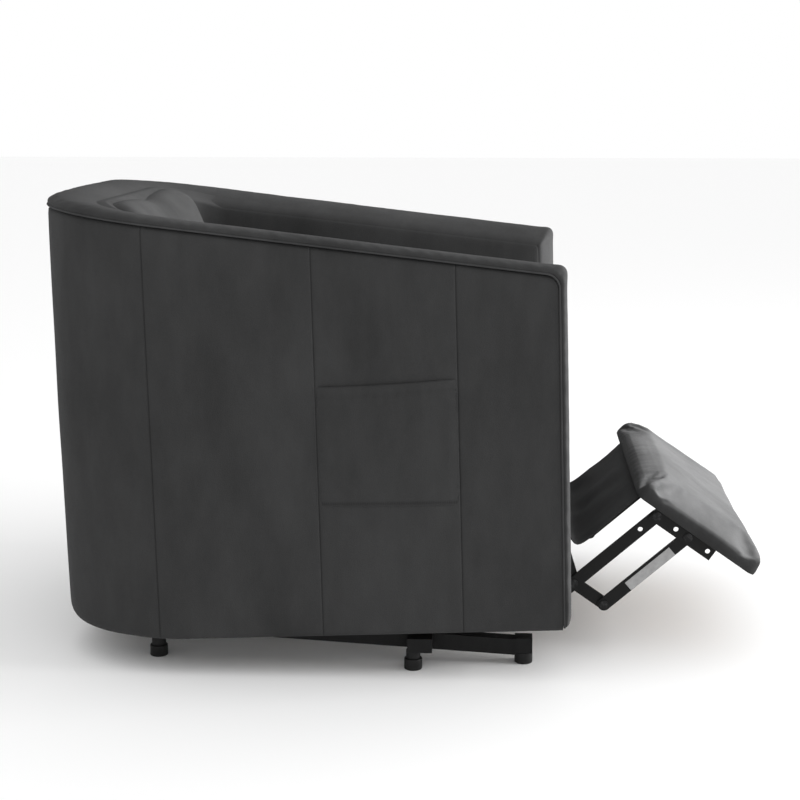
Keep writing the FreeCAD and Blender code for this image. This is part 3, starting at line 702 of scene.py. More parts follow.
@dataclass
class TubPlan:
    """The tub's plan and heights, read from the frame in the upright drawing."""

    drawing: Local
    inner_radius: float = 80 * MM
    front_bend: float = 22 * MM
    rear_seam_past_corner: float = 20 * MM

    def __post_init__(self) -> None:
        """Read the CAD boxes."""
        arm_low, arm_high = self.drawing.box("arm_cover_left")
        back_low, back_high = self.drawing.box("back_cover")
        self.inner_x, self.half_width = arm_low.x, arm_high.x
        self.front_y, self.corner_y = arm_low.y, arm_high.y
        self.back_y = back_high.y
        self.inner_back_y = self.drawing.box("back_cushion")[1].y
        self.outer_radius = self.back_y - self.corner_y
        self.corner_x = self.half_width - self.outer_radius
        self.inner_corner_x = self.inner_x - self.inner_radius
        self.inner_corner_y = self.inner_back_y - self.inner_radius
        self.slope = math.atan2(back_high.z - arm_high.z, self.outer_radius)
        self.rim_front = arm_high.z - (self.corner_y - self.front_y) * math.tan(self.slope)
        fall = (arm_low.z - back_low.z) / self.outer_radius
        self.skirt_back, self.skirt_fall = back_low.z, fall
        self.side_run = self.corner_y - self.front_y
        self.arc_run = self.outer_radius * math.pi / 2
        self.half_run = self.side_run + self.arc_run + self.corner_x
        half_turn = (math.pi / 2 - self.slope) / 2
        self.bend_reach = self.front_bend * math.tan(half_turn)
        pocket_low, pocket_high = self.drawing.box("side_pocket_left")
        self.pocket_low, self.pocket_high = pocket_low, pocket_high
        self.seam_runs = [
            pocket_low.y - self.front_y,
            pocket_high.y - self.front_y,
            self.side_run + self.rear_seam_past_corner,
        ]

    def station(self, run: float, side: Side) -> Station:
        """The wall at a run along its outer face from the arm's front.

        Args:
            run: Distance from the arm's front, up to the middle of the back.
            side: Which arm it starts from.

        Returns:
            The station.
        """
        if run <= self.side_run:
            share = run / self.side_run
            inner_y = self.front_y + share * (self.inner_corner_y - self.front_y)
            outer, inner = (self.half_width, self.front_y + run), (self.inner_x, inner_y)
        elif run <= self.side_run + self.arc_run:
            turn = (run - self.side_run) / self.outer_radius
            c, s = math.cos(turn), math.sin(turn)
            outer = (self.corner_x + self.outer_radius * c, self.corner_y + self.outer_radius * s)
            inner = (
                self.inner_corner_x + self.inner_radius * c,
                self.inner_corner_y + self.inner_radius * s,
            )
        else:
            share = 1 - (run - self.side_run - self.arc_run) / self.corner_x
            outer = (self.corner_x * share, self.back_y)
            inner = (self.inner_corner_x * share, self.inner_back_y)
        sign = side.value
        return Station(Vector((outer[0] * sign, outer[1], 0)), Vector((inner[0] * sign, inner[1], 0)))

    def rim(self, y: float) -> float:
        """Height of the wall's sloping top."""
        return self.rim_front + (y - self.front_y) * math.tan(self.slope)

    def top(self, y: float) -> float:
        """Height of the wall's top with its rounded front corner.

        Args:
            y: Place along the arm.

        Returns:
            The height.
        """
        centre_y = self.front_y + self.front_bend
        centre_z = self.rim_front - self.bend_reach
        if y >= centre_y - self.front_bend * math.sin(self.slope):
            return self.rim(y)
        drop = max(self.front_bend**2 - (y - centre_y) ** 2, 0.0)
        return centre_z + math.sqrt(drop)

    def skirt(self, y: float) -> float:
        """Height of the wall's lower edge."""
        return self.skirt_back + (self.back_y - y) * self.skirt_fall


# ---- Walls -------------------------------------------------------------------------------------
@dataclass(frozen=True)
class BandProfile:
    """The band's padded section: a crest over the wall, rolled down over its inner edge."""

    crown: float = 12.0 * MM
    back_swell: float = 8.0 * MM
    inner_drop: float = 22.0 * MM
    crest: float = 0.22
    outer_power: float = 2.8
    inner_power: float = 1.8
    clear: float = 2.5 * MM
    tucked_from: float = 0.7
    tuck_depth: float = 0.85

    def height(self, share: float, crown: float) -> float:
        """Height over the wall's line at a share of its width from the outer edge.

        Args:
            share: From 0 at the outer edge to 1 at the inner one.
            crown: The crest's height there.

        Returns:
            The height, negative on the inner face.
        """
        if share <= self.crest:
            t = 1 - max(share, 0.0) / self.crest
            return crown * (1 - t**self.outer_power) ** (1 / self.outer_power)
        t = min((share - self.crest) / (1 - self.crest), 1.0)
        whole = crown + self.inner_drop
        return whole * (1 - t**self.inner_power) ** (1 / self.inner_power) - self.inner_drop

    def wall_cut(self, below: float, width: float) -> float:
        """How far the wall's inner face stands back, that deep under its top, to stay inside.

        Args:
            below: Depth under the wall's top.
            width: The wall's thickness.

        Returns:
            Distance back from the inner face, 0 below the band.
        """
        if below >= self.inner_drop * self.tucked_from:
            return 0.0
        level = (self.inner_drop - max(below, 0.0)) / (self.crown + self.inner_drop)
        t = (1 - level**self.inner_power) ** (1 / self.inner_power)
        return width * (1 - self.crest) * (1 - t) + self.clear

    def inner_offset(self, height: float, swell: float) -> float:
        """How far the rolled edge stands past the wall's inner face; its lowest part tucks in.

        Args:
            height: Height over the wall's line.
            swell: Most that the edge stands out.

        Returns:
            Distance towards the seat, negative where it tucks in.
        """
        depth = min(max(-height / self.inner_drop, 0.0), 1.0)
        return swell * 4 * depth * (self.tuck_depth - depth) / self.tuck_depth**2


@dataclass
class TubWalls:
    """The upholstered walls: outer panels with their seams, inner panels and underside."""

    plan: TubPlan
    finishes: Finishes
    coarse: float = 13 * MM
    band: BandProfile = field(default_factory=BandProfile)
    seam_steps: tuple[float, ...] = tuple(d * MM for d in (-8, -4, -2.2, -1, 0, 1, 2.2, 4, 8))
    outer_rows: int = 46
    inner_rows: int = 15
    band_rows: tuple[float, ...] = (0.92, 0.74, 0.5, 0.2, 0.0)
    panel_bulge: float = 3.0 * MM
    inner_bulge: float = 6.0 * MM
    seam_depth: float = 1.5 * MM
    seam_width: float = 1.2 * MM
    pucker: float = 0.55 * MM
    pucker_pitch: float = 17 * MM
    side_roll: float = 9 * MM
    back_roll: float = 22 * MM
    skirt_thickness: float = 30 * MM
    hollow_top: float = 120 * MM
    post_depth: float = 62 * MM
    hollows: float = 1.2 * MM
    skirt_waves: float = 0.7 * MM
    hem_waves: float = 1.0 * MM
    hem_height: float = 26 * MM
    rim_creases: float = 0.8 * MM
    rim_crease_height: float = 16 * MM
    inner_hollows: float = 1.0 * MM
    inner_fade: float = 60 * MM
    corner_crease: float = 3.0 * MM
    corner_crease_width: float = 4 * MM

    def __post_init__(self) -> None:
        """Read the seat's height, over which the inner face is padded."""
        self.deck = self.plan.drawing.box("seat_cushion")[1].z

    def runs(self) -> list[float]:
        """Stations along one side, closer together at the seams and the front corner.

        Returns:
            Distances along the outer face from the arm's front.
        """
        plan = self.plan
        steps = round(plan.half_run / self.coarse)
        even = spread(0.0, plan.half_run, steps)
        special = [seam + step for seam in plan.seam_runs for step in self.seam_steps]
        special += [plan.front_bend * share for share in (0.0, 0.08, 0.25, 0.5, 0.8, 1.1)]
        special += [self.post_depth - 2 * MM, self.post_depth + 2 * MM, plan.half_run]
        clear = [run for run in even if min(abs(run - s) for s in special) > 4 * MM]
        return sorted(set(clear + special))

    def outward(self, run: float, side: Side, z: float) -> float:
        """How far the outer cloth stands off the plain wall.

        Args:
            run: Distance along the outer face from the arm's front.
            side: The arm it is on.
            z: Height.

        Returns:
            Distance outwards.
        """
        plan = self.plan
        station = plan.station(run, side)
        top, low = plan.top(station.outer.y), plan.skirt(station.outer.y)
        share = min(max((z - low) / max(top - low, MM), 0.0), 1.0)
        upright = math.sin(math.pi * share) ** 0.6 if 0 < share < 1 else 0.0
        edges = [0.0, *plan.seam_runs, 2 * plan.half_run - plan.seam_runs[-1]]
        before = max(e for e in edges if e <= run + 1e-9)
        after = min(e for e in edges if e > run + 1e-9)
        level = math.sin(math.pi * (run - before) / (after - before)) ** 0.45
        point = Vector((station.outer.x, station.outer.y, z))
        out = self.panel_bulge * upright * level
        out += self.hollows * ripple(point, Direction.EVEN, 0.8) * upright
        out += self.skirt_waves * ripple(point, Direction.UPRIGHT, 1.6) * (1 - share) ** 2
        near = min(abs(run - seam) for seam in plan.seam_runs)
        out -= self.seam_depth * bell(near, self.seam_width)
        wander = ripple(point, Direction.EVEN, 3.0)
        folds = math.sin(2 * math.pi * (z / self.pucker_pitch + wander))
        out += self.pucker * folds * bell(near - 7 * MM, 7 * MM) * upright
        hem = bell(z - low, self.hem_height)
        out += self.hem_waves * hem * ripple(Vector((run, side.value, 0)), Direction.EVEN, 3.2)
        crease = bell(top - z, self.rim_crease_height)
        out += self.rim_creases * crease * ripple(Vector((run, side.value, 1)), Direction.EVEN, 5.5)
        return out

    def inward(self, run: float, side: Side, z: float) -> float:
        """How far the inner cloth stands off the plain inner face.

        Args:
            run: Distance along the outer face from the arm's front.
            side: The arm it is on.
            z: Height.

        Returns:
            Distance towards the seat.
        """
        if z <= self.deck:
            return 0.0
        station = self.plan.station(run, side)
        share = (z - self.deck) / (self.plan.top(station.outer.y) - self.deck)
        fade = min(run / self.inner_fade, 1.0)
        point = Vector((station.inner.x, station.inner.y, z))
        out = self.inner_bulge * math.sin(math.pi * min(share, 1.0)) ** 0.7 * fade
        out += self.inner_hollows * ripple(point, Direction.SLANTED) * fade
        corner = abs(run - self.plan.side_run)
        return out - self.corner_crease * bell(corner, self.corner_crease_width)

    def ring(self, run: float, side: Side) -> list[Vector]:
        """The wall's section at a run, as one closed ring.

        Args:
            run: Distance along the outer face from the arm's front.
            side: The arm it is on.

        Returns:
            Points down the outer face, under, and up the inner face.
        """
        plan = self.plan
        station = plan.station(run, side)
        y = station.outer.y
        top, low = plan.top(y), plan.skirt(y)
        behind = min(max((run - plan.side_run) / (80 * MM), 0.0), 1.0)
        roll = self.side_roll + (self.back_roll - self.side_roll) * behind
        solid_post = run < self.post_depth
        ceiling = low + 1.5 * MM if solid_post else self.hollow_top
        full = station.thickness

        def at(inwards: float, z: float) -> Vector:
            """A point that far in from the outer face, at that height."""
            point = station.outer + station.across * inwards
            return Vector((point.x, point.y, z))

        edge = self.band.wall_cut(0.0, full) if run == 0.0 else 0.0
        points = [at(full * 0.75 - edge, top), at(full * 0.5, top), at(full * 0.25, top)]
        for z in spread(top, low + roll, self.outer_rows):
            points.append(at(-self.outward(run, side, z), z))
        foot = self.outward(run, side, low + roll)
        for degrees in (18, 36, 54, 72, 90):
            turn = math.radians(degrees)
            inwards = roll - (roll + foot) * math.cos(turn)
            points.append(at(inwards, low + roll - roll * math.sin(turn)))
        points.append(at(self.skirt_thickness - 1.0 * MM, low))
        for z in spread(low + 0.5 * MM, ceiling, 4):
            points.append(at(self.skirt_thickness, z))
        for share in (0.25, 0.5, 0.75):
            points.append(at(self.skirt_thickness + (full - self.skirt_thickness) * share, ceiling))
        for z in self.inner_heights(ceiling, top):
            below = min(top - z, run)
            cut = self.band.wall_cut(below, full)
            ease = 0.5 if below < self.band.inner_drop else 1.0
            stands = self.inward(run, side, z) * ease if cut == 0.0 else -cut
            points.append(at(full + stands, z))
        return points

    def inner_heights(self, ceiling: float, top: float) -> list[float]:
        """Heights of the inner face's rows, closer under the band's rolled edge.

        Args:
            ceiling: Height of the lowest row.
            top: Height of the highest row.

        Returns:
            The heights.
        """
        drop = self.band.inner_drop
        under_band = [top - drop * share for share in self.band_rows]
        return spread(ceiling, top - drop - 2 * MM, self.inner_rows) + under_band

    def seam_share(self, point: Vector) -> float:
        """How much of a sewn line lies at a point of the upright drawing.

        Args:
            point: The point.

        Returns:
            From 0 to 1.
        """
        plan = self.plan
        aside, behind = abs(point.x) - plan.corner_x, point.y - plan.corner_y
        if math.hypot(max(aside, 0.0), max(behind, 0.0)) < plan.outer_radius - 8 * MM:
            return 0.0
        run = point.y - plan.front_y
        if behind > 0:
            run = plan.side_run + math.atan2(behind, max(aside, MM)) * plan.outer_radius
        return 0.75 * max(bell(run - seam, 0.8 * MM) for seam in plan.seam_runs)

    def build(self) -> bpy.types.Object:
        """Make the walls as one closed piece that rides on the tub.

        Returns:
            The piece tub_cover.
        """
        runs = self.runs()
        rings = [self.ring(run, Side.RIGHT) for run in runs]
        rings += [self.ring(run, Side.LEFT) for run in reversed(runs[:-1])]
        walls = smooth_once(finished("tub_cover", skin(rings), self.plan.drawing.matrix))
        sew(walls, lambda point: self.seam_share(self.plan.drawing.inverse @ point))
        self.finishes.dress(walls, self.finishes.cover)
        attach(walls, "tub")
        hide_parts("arm_cover_left", "arm_cover_right", "back_cover")
        return walls


# ---- Rim band and piping -----------------------------------------------------------------------
@dataclass(frozen=True)
class BandPlace:
    """A place along the band: its outer and inner edge, and the way it faces."""

    outer: Vector
    inner: Vector
    face: Vector
    run: float
    crown: float


@dataclass
class RimBand:
    """The padded band up the arm fronts and round the rim, with its piping."""

    plan: TubPlan
    finishes: Finishes
    profile: BandProfile = field(default_factory=BandProfile)
    corner_power: float = 9.0
    overhang: float = 2.4 * MM
    inner_swell: float = 2.6 * MM
    seat_in: float = 2.0 * MM
    under_clear: float = 3.0 * MM
    step: float = 9 * MM
    bend_steps: int = 12
    across_steps: int = 26
    under_steps: int = 7
    start_lift: float = 6 * MM
    swell_share: float = 0.8
    end_fold: float = 11 * MM
    gather: float = 0.9 * MM
    gather_pitch: float = 21 * MM
    mitre_depth: float = 2.2 * MM
    mitre_width: float = 2.6 * MM
    softness: float = 0.06
    piping_radius: float = 1.6 * MM
    piping_sides: int = 10
    piping_lift: float = 0.4 * MM
    piping_ridge: float = 0.025
    piping_pitch: float = 7 * MM

    def __post_init__(self) -> None:
        """Work out the band's lengths up the arm's front and round its corner."""
        plan = self.plan
        self.low = plan.skirt(plan.front_y) + self.start_lift
        self.straight = plan.rim_front - plan.bend_reach - self.low
        self.turn_all = math.pi / 2 - plan.slope
        self.bend_run = self.turn_all * plan.front_bend
        self.mitre_run = self.straight + self.turn_all * plan.front_bend / 2

    def front_places(self, side: Side) -> list[BandPlace]:
        """The band's places up the arm's front, closer together at the folded end.

        Args:
            side: The arm.

        Returns:
            The places, from the skirt up.
        """
        front = self.plan.station(0.0, side)
        found = []
        early = [0.0, 1.5 * MM, 4 * MM]
        for run in early + spread(self.end_fold, self.straight, round(self.straight / self.step)):
            lift = Vector((0, 0, self.low + run))
            outer, inner = front.outer + lift, front.inner + lift
            found.append(BandPlace(outer, inner, Vector((0, -1, 0)), run, self.profile.crown))
        return found

    def corner_places(self, side: Side) -> list[BandPlace]:
        """The band's places round the arm's front corner.

        Args:
            side: The arm.

        Returns:
            The places, from the front up.
        """
        plan = self.plan
        front = plan.station(0.0, side)
        centre = Vector((0, plan.front_y + plan.front_bend, plan.rim_front - plan.bend_reach))
        found = []
        for turn in spread(0.0, self.turn_all, self.bend_steps)[1:]:
            face = Vector((0, -math.cos(turn), math.sin(turn)))
            middle = centre + face * plan.front_bend
            outer = Vector((front.outer.x, middle.y, middle.z))
            inner = Vector((front.inner.x, middle.y, middle.z))
            run = self.straight + turn * plan.front_bend
            found.append(BandPlace(outer, inner, face, run, self.corner_crown(turn)))
        return found

    def rim_places(self, side: Side) -> list[BandPlace]:
        """The band's places along the rim, up to the middle of the back.

        Args:
            side: The arm it starts from.

        Returns:
            The places, from the front back.
        """
        plan = self.plan
        face = Vector((0, -math.sin(plan.slope), math.cos(plan.slope)))
        start = plan.bend_reach * math.cos(plan.slope)
        swell_from = plan.side_run * self.swell_share
        count = round((plan.half_run - start) / self.step)
        found = []
        for run in spread(start, plan.half_run, count)[1:]:
            station = plan.station(run, side)
            outer = station.outer + Vector((0, 0, plan.rim(station.outer.y)))
            inner = station.inner + Vector((0, 0, plan.rim(station.inner.y)))
            behind = min(max((run - swell_from) / (plan.half_run - swell_from), 0.0), 1.0)
            crown = self.profile.crown + self.profile.back_swell * behind**2 * (3 - 2 * behind)
            along = self.straight + self.bend_run + run - start
            found.append(BandPlace(outer, inner, face, along, crown))
        return found

    def places(self, side: Side) -> list[BandPlace]:
        """The band's places on one side, from the skirt to the middle of the back."""
        return self.front_places(side) + self.corner_places(side) + self.rim_places(side)

    def corner_crown(self, turn: float) -> float:
        """The band's height round the front corner, whose padding is squarer than its seam.

        Args:
            turn: Angle turned round the corner.

        Returns:
            The height over the corner seam.
        """
        angle = turn / self.turn_all * math.pi / 2
        square = (math.cos(angle) ** self.corner_power + math.sin(angle) ** self.corner_power) ** (
            -1 / self.corner_power
        )
        return (self.plan.front_bend + self.profile.crown) * square - self.plan.front_bend

    def ring(self, place: BandPlace) -> list[Vector]:
        """The band's section at a place, as one closed ring.

        Args:
            place: Where along the band.

        Returns:
            Points across its top and back under it.
        """
        across = place.inner - place.outer
        wide = across.length
        across = across / wide
        lift = min(place.run / self.end_fold, 1.0)
        lift = math.sqrt(max(1 - (1 - lift) ** 2, 0.01))
        mitre = bell(place.run - self.mitre_run, self.mitre_width)
        points = []
        for i in range(self.across_steps + 1):
            share = i / self.across_steps
            t = (1 - math.cos(math.pi * share)) / 2
            spot = place.outer + across * wide * t
            soft = ripple(spot, Direction.EVEN, 1.3)
            height = self.profile.height(t, place.crown)
            rise = min(max(height / self.profile.crown, 0.0), 1.0)
            height = height * lift if height > 0 else height
            height += self.profile.crown * self.softness * soft * rise * lift
            wander = ripple(spot, Direction.EVEN, 2.5) * 1.4
            fold = math.sin(2 * math.pi * (place.run / self.gather_pitch + wander))
            height += self.gather * fold * bell(t - 0.06, 0.07) * lift
            height -= self.mitre_depth * mitre * min(rise * 1.5, 1.0)
            if t < self.profile.crest:
                stands = -self.overhang * math.sin(math.pi * rise) ** 0.6
            else:
                stands = self.profile.inner_offset(height, self.inner_swell) if t > 0.5 else 0.0
            points.append(place.outer + across * (wide * t + stands) + place.face * height)
        for i in range(self.under_steps + 1):
            t = 1 - (i + 0.5) / (self.under_steps + 1)
            clear = self.under_clear - self.profile.height(t, self.profile.crown)
            sunk = self.seat_in + max(clear, 0.0)
            points.append(place.outer + across * wide * t * 0.985 - place.face * sunk)
        return points

    def piping_ring(self, place: BandPlace, reach: float) -> list[Vector]:
        """The piping's round section at a place.

        Args:
            place: Where along the band.
            reach: How far its centre stands out from the wall.

        Returns:
            The ring of points.
        """
        across = (place.inner - place.outer).normalized()
        centre = place.outer - across * reach + place.face * self.piping_lift
        lumps = 1.0 + self.piping_ridge * math.sin(2 * math.pi * place.run / self.piping_pitch)
        points = []
        for i in range(self.piping_sides):
            turn = 2 * math.pi * i / self.piping_sides
            way = across * math.cos(turn) + place.face * math.sin(turn)
            points.append(centre + way * self.piping_radius * lumps)
        return points

    def all_places(self) -> list[BandPlace]:
        """The band's places from the right arm's skirt round to the left arm's."""
        right, left = self.places(Side.RIGHT), self.places(Side.LEFT)
        return right + left[-2::-1]

    def build(self) -> list[bpy.types.Object]:
        """Make the band and its piping, which ride on the tub.

        Returns:
            The band and the piping.
        """
        places = self.all_places()
        matrix = self.plan.drawing.matrix
        band = smooth_once(finished("rim_band", skin([self.ring(p) for p in places]), matrix))
        self.finishes.dress(band, self.finishes.cover)
        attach(band, "tub")
        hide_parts("rim_pad", "arm_front_pad_left", "arm_front_pad_right")
        reach = self.piping_radius * 0.3
        rings = [self.piping_ring(p, reach) for p in places]
        cord = finished("rim_piping_seam", skin(rings), matrix)
        self.finishes.dress(cord, self.finishes.piping)
        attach(cord, "tub")
        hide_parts("rim_piping")
        return [band, cord]


# ---- Side pockets ------------------------------------------------------------------------------
@dataclass
class SidePocket:
    """A flat pocket between two wall seams, with a folded hem at its opening."""

    plan: TubPlan
    walls: TubWalls
    finishes: Finishes
    columns: int = 44
    rows: int = 40
    slack: float = 2.6 * MM
    cloth: float = 1.3 * MM
    hem_height: float = 16 * MM
    hem_swell: float = 1.1 * MM
    stitch_width: float = 2.0 * MM
    gathers: int = 13
    ripple_depth: float = 0.5 * MM
    sag: float = 1.6 * MM
    seam_lift: float = 5 * MM
    seam_depth: float = 0.8 * MM
    seam_width: float = 1.8 * MM
    side_fade: float = 14 * MM
    end_share: float = 0.004

    def __post_init__(self) -> None:
        """Read how far the opening falls from front to back."""
        low, high = self.plan.pocket_low, self.plan.pocket_high
        middle = (low.y + high.y) / 2
        top_back = max(
            (self.plan.drawing.inverse @ v.co).z
            for v in frame["nodes"]["side_pocket_left"].data.vertices
            if (self.plan.drawing.inverse @ v.co).y > middle
        )
        self.opening_fall = high.z - top_back

    def heights(self, share: float) -> tuple[float, float]:
        """Bottom and top height at a share of the way from the front to the back seam.

        Args:
            share: From 0 at the front to 1 at the back.

        Returns:
            The bottom and the top.
        """
        low, high = self.plan.pocket_low, self.plan.pocket_high
        top = high.z - share * self.opening_fall
        return low.z, top - self.sag * math.sin(math.pi * share)

    def ring(self, share: float, side: Side) -> list[Vector]:
        """An upright section of the pocket: up its outside and down its inside.

        Args:
            share: From 0 at the front to 1 at the back.
            side: The arm it is on.

        Returns:
            The ring of points.
        """
        plan = self.plan
        run = plan.seam_runs[0] + share * (plan.seam_runs[1] - plan.seam_runs[0])
        low, top = self.heights(share)
        beside = min(share, 1 - share) * (plan.seam_runs[1] - plan.seam_runs[0])
        near = min(beside / self.side_fade, 1.0)
        outside, inside = [], []
        for z in spread(low, top, self.rows):
            up = (z - low) / (top - low)
            base = self.walls.outward(run, side, z)
            point = Vector((side.value, run, z))
            belly = self.slack * near * (0.35 + 0.65 * up) * min(up / 0.05, 1.0)
            belly += self.ripple_depth * ripple(point, Direction.SLANTED, 1.6) * near
            under_hem = top - z - self.hem_height
            if under_hem < 0:
                belly += self.hem_swell * near
            belly -= 0.4 * MM * bell(under_hem, self.stitch_width) * near
            folds = math.sin(2 * math.pi * share * self.gathers)
            belly += self.ripple_depth * folds * bell(under_hem, 9 * MM)
            belly -= self.seam_depth * bell(z - low - self.seam_lift, self.seam_width)
            off_wall = self.cloth * near + max(belly, 0.0) + 0.2 * MM
            outside.append(self.point(run, side, base + off_wall, z))
            inside.append(self.point(run, side, base - 1.0 * MM, z))
        return outside + inside[::-1]

    def seam_share(self, point: Vector) -> float:
        """How much of the hem's or the bottom's stitching lies at a point.

        Args:
            point: A point of the upright drawing.

        Returns:
            From 0 to 1.
        """
        low, high = self.plan.pocket_low, self.plan.pocket_high
        share = (point.y - low.y) / (high.y - low.y)
        bottom, top = self.heights(min(max(share, 0.0), 1.0))
        hem = bell(top - point.z - self.hem_height, self.stitch_width)
        return max(0.25 * hem, 0.6 * bell(point.z - bottom - self.seam_lift, self.stitch_width))

    def point(self, run: float, side: Side, out: float, z: float) -> Vector:
        """A point that far out from the plain wall."""
        outer = self.plan.station(run, side).outer
        return Vector((outer.x + side.value * out, outer.y, z))

    def build(self, side: Side) -> bpy.types.Object:
        """Make one pocket, which rides on the tub.

        Args:
            side: The arm it is on.

        Returns:
            The pocket.
        """
        shares = spread(0.0, 1.0, self.columns)
        shares[0] += self.end_share
        shares[-1] -= self.end_share
        word = side.name.lower()
        bm = skin([self.ring(share, side) for share in shares])
        pocket = smooth_once(finished("pocket_" + word, bm, self.plan.drawing.matrix))
        sew(pocket, lambda point: self.seam_share(self.plan.drawing.inverse @ point))
        self.finishes.dress(pocket, self.finishes.pocket)
        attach(pocket, "tub")
        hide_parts("side_pocket_" + word)
        return pocket


# ---- Cushions ----------------------------------------------------------------------------------
@dataclass
class SoftBlock:
    """A stuffed cushion, blown up from a smaller block inside its cover by cloth simulation."""

    name: str
    matrix: Matrix
    low: Vector
    high: Vector
    shrink: Vector
    corner: float
    edge: float
    voxel: float = 6 * MM
    pressure: float = 4.0
    frames: int = 20
    reach: float = 24 * MM
    stiffness: float = 12.0
    bending: float = 4.0
    held_below: float | None = None
    calm: int = 0

    def block(self) -> bmesh.types.BMesh:
        """The smaller block, with round upright corners and softened edges.

        Returns:
            The block, closed.
        """
        low, high = self.low + self.shrink, self.high - self.shrink
        bm = bmesh.new()
        bmesh.ops.create_cube(bm, size=1.0)
        bmesh.ops.scale(bm, vec=high - low, verts=bm.verts)
        bmesh.ops.translate(bm, vec=(low + high) / 2, verts=bm.verts)
        upright = [e for e in bm.edges if abs(e.verts[0].co.z - e.verts[1].co.z) > 1e-6]
        bmesh.ops.bevel(
            bm, geom=upright, offset=self.corner, segments=5, profile=0.5, affect="EDGES", material=-1
        )
        level = [f for f in bm.faces if abs(f.normal.z) > 0.9]
        if self.held_below is not None:
            level = [f for f in level if f.normal.z > 0]
        rims = list({e for f in level for e in f.edges})
        bmesh.ops.bevel(
            bm, geom=rims, offset=self.edge, segments=4, profile=0.5, affect="EDGES", material=-1
        )
        bmesh.ops.recalc_face_normals(bm, faces=bm.faces)
        return bm

    def remeshed(self) -> bpy.types.Object:
        """The block as an even skin of small faces, in its own drawing.

        Returns:
            The linked object.
        """
        rough = finished(self.name + "_rough", self.block())
        voxels = rough.modifiers.new("Even", "REMESH")
        voxels.mode = "VOXEL"
        voxels.voxel_size = self.voxel
        graph = bpy.context.evaluated_depsgraph_get()
        mesh = bpy.data.meshes.new_from_object(rough.evaluated_get(graph))
        mesh.name = self.name
        bpy.data.objects.remove(rough)
        piece = bpy.data.objects.new(self.name, mesh)
        bpy.context.scene.collection.objects.link(piece)
        return piece

    def inflate(self, piece: bpy.types.Object) -> None:
        """Blow the skin up under pressure and keep it within its cover's room.

        Args:
            piece: The skin, moved in place.
        """
        cloth = piece.modifiers.new("Blown", "CLOTH")
        if self.held_below is not None:
            held = piece.vertex_groups.new(name="held")
            lower = [v.index for v in piece.data.vertices if v.co.z < self.held_below]
            held.add(lower, 1.0, "REPLACE")
            cloth.settings.vertex_group_mass = "held"
        cloth.settings.effector_weights.gravity = 0.0
        cloth.settings.use_pressure = True
        cloth.settings.uniform_pressure_force = self.pressure
        cloth.settings.tension_stiffness = self.stiffness
        cloth.settings.compression_stiffness = self.stiffness
        cloth.settings.bending_stiffness = self.bending
        cloth.settings.quality = 5
        cloth.collision_settings.use_collision = False
        cloth.point_cache.frame_start = 1
        cloth.point_cache.frame_end = self.frames
        scene = bpy.context.scene
        for step in range(1, self.frames + 1):
            scene.frame_set(step)
        graph = bpy.context.evaluated_depsgraph_get()
        shown = piece.evaluated_get(graph)
        blown = [v.co.copy() for v in shown.to_mesh().vertices]
        shown.to_mesh_clear()
        piece.modifiers.remove(cloth)
        scene.frame_set(1)
        for vert, target in zip(piece.data.vertices, blown):
            way = target - vert.co
            if way.length > self.reach:
                way = way * (self.reach / way.length)
            vert.co = vert.co + way

    def calmed(self, piece: bpy.types.Object) -> None:
        """Ease the blown skin's folds, a little on each pass.

        Args:
            piece: The skin, moved in place.
        """
        bm = bmesh.new()
        bm.from_mesh(piece.data)
        for _ in range(self.calm):
            bmesh.ops.smooth_vert(
                bm, verts=bm.verts, factor=0.5, use_axis_x=True, use_axis_y=True, use_axis_z=True
            )
        bm.to_mesh(piece.data)
        bm.free()

    def build(
        self, detail: Callable[[Vector, Vector], Vector], finish: bpy.types.Material
    ) -> bpy.types.Object:
        """Make the cushion in the row frame.

        Args:
            detail: Gives each point's final place from its place and normal.
            finish: Its material.

        Returns:
            The piece.
        """
        piece = self.remeshed()
        self.inflate(piece)
        self.calmed(piece)
        mesh = piece.data
        moved = [detail(v.co.copy(), v.normal.copy()) for v in mesh.vertices]
        for vert, place in zip(mesh.vertices, moved):
            vert.co = place
        mesh.transform(self.matrix)
        mesh.update()
        mesh.polygons.foreach_set("use_smooth", [True] * len(mesh.polygons))
        mesh.materials.clear()
        mesh.materials.append(finish)
        return smooth_once(piece)


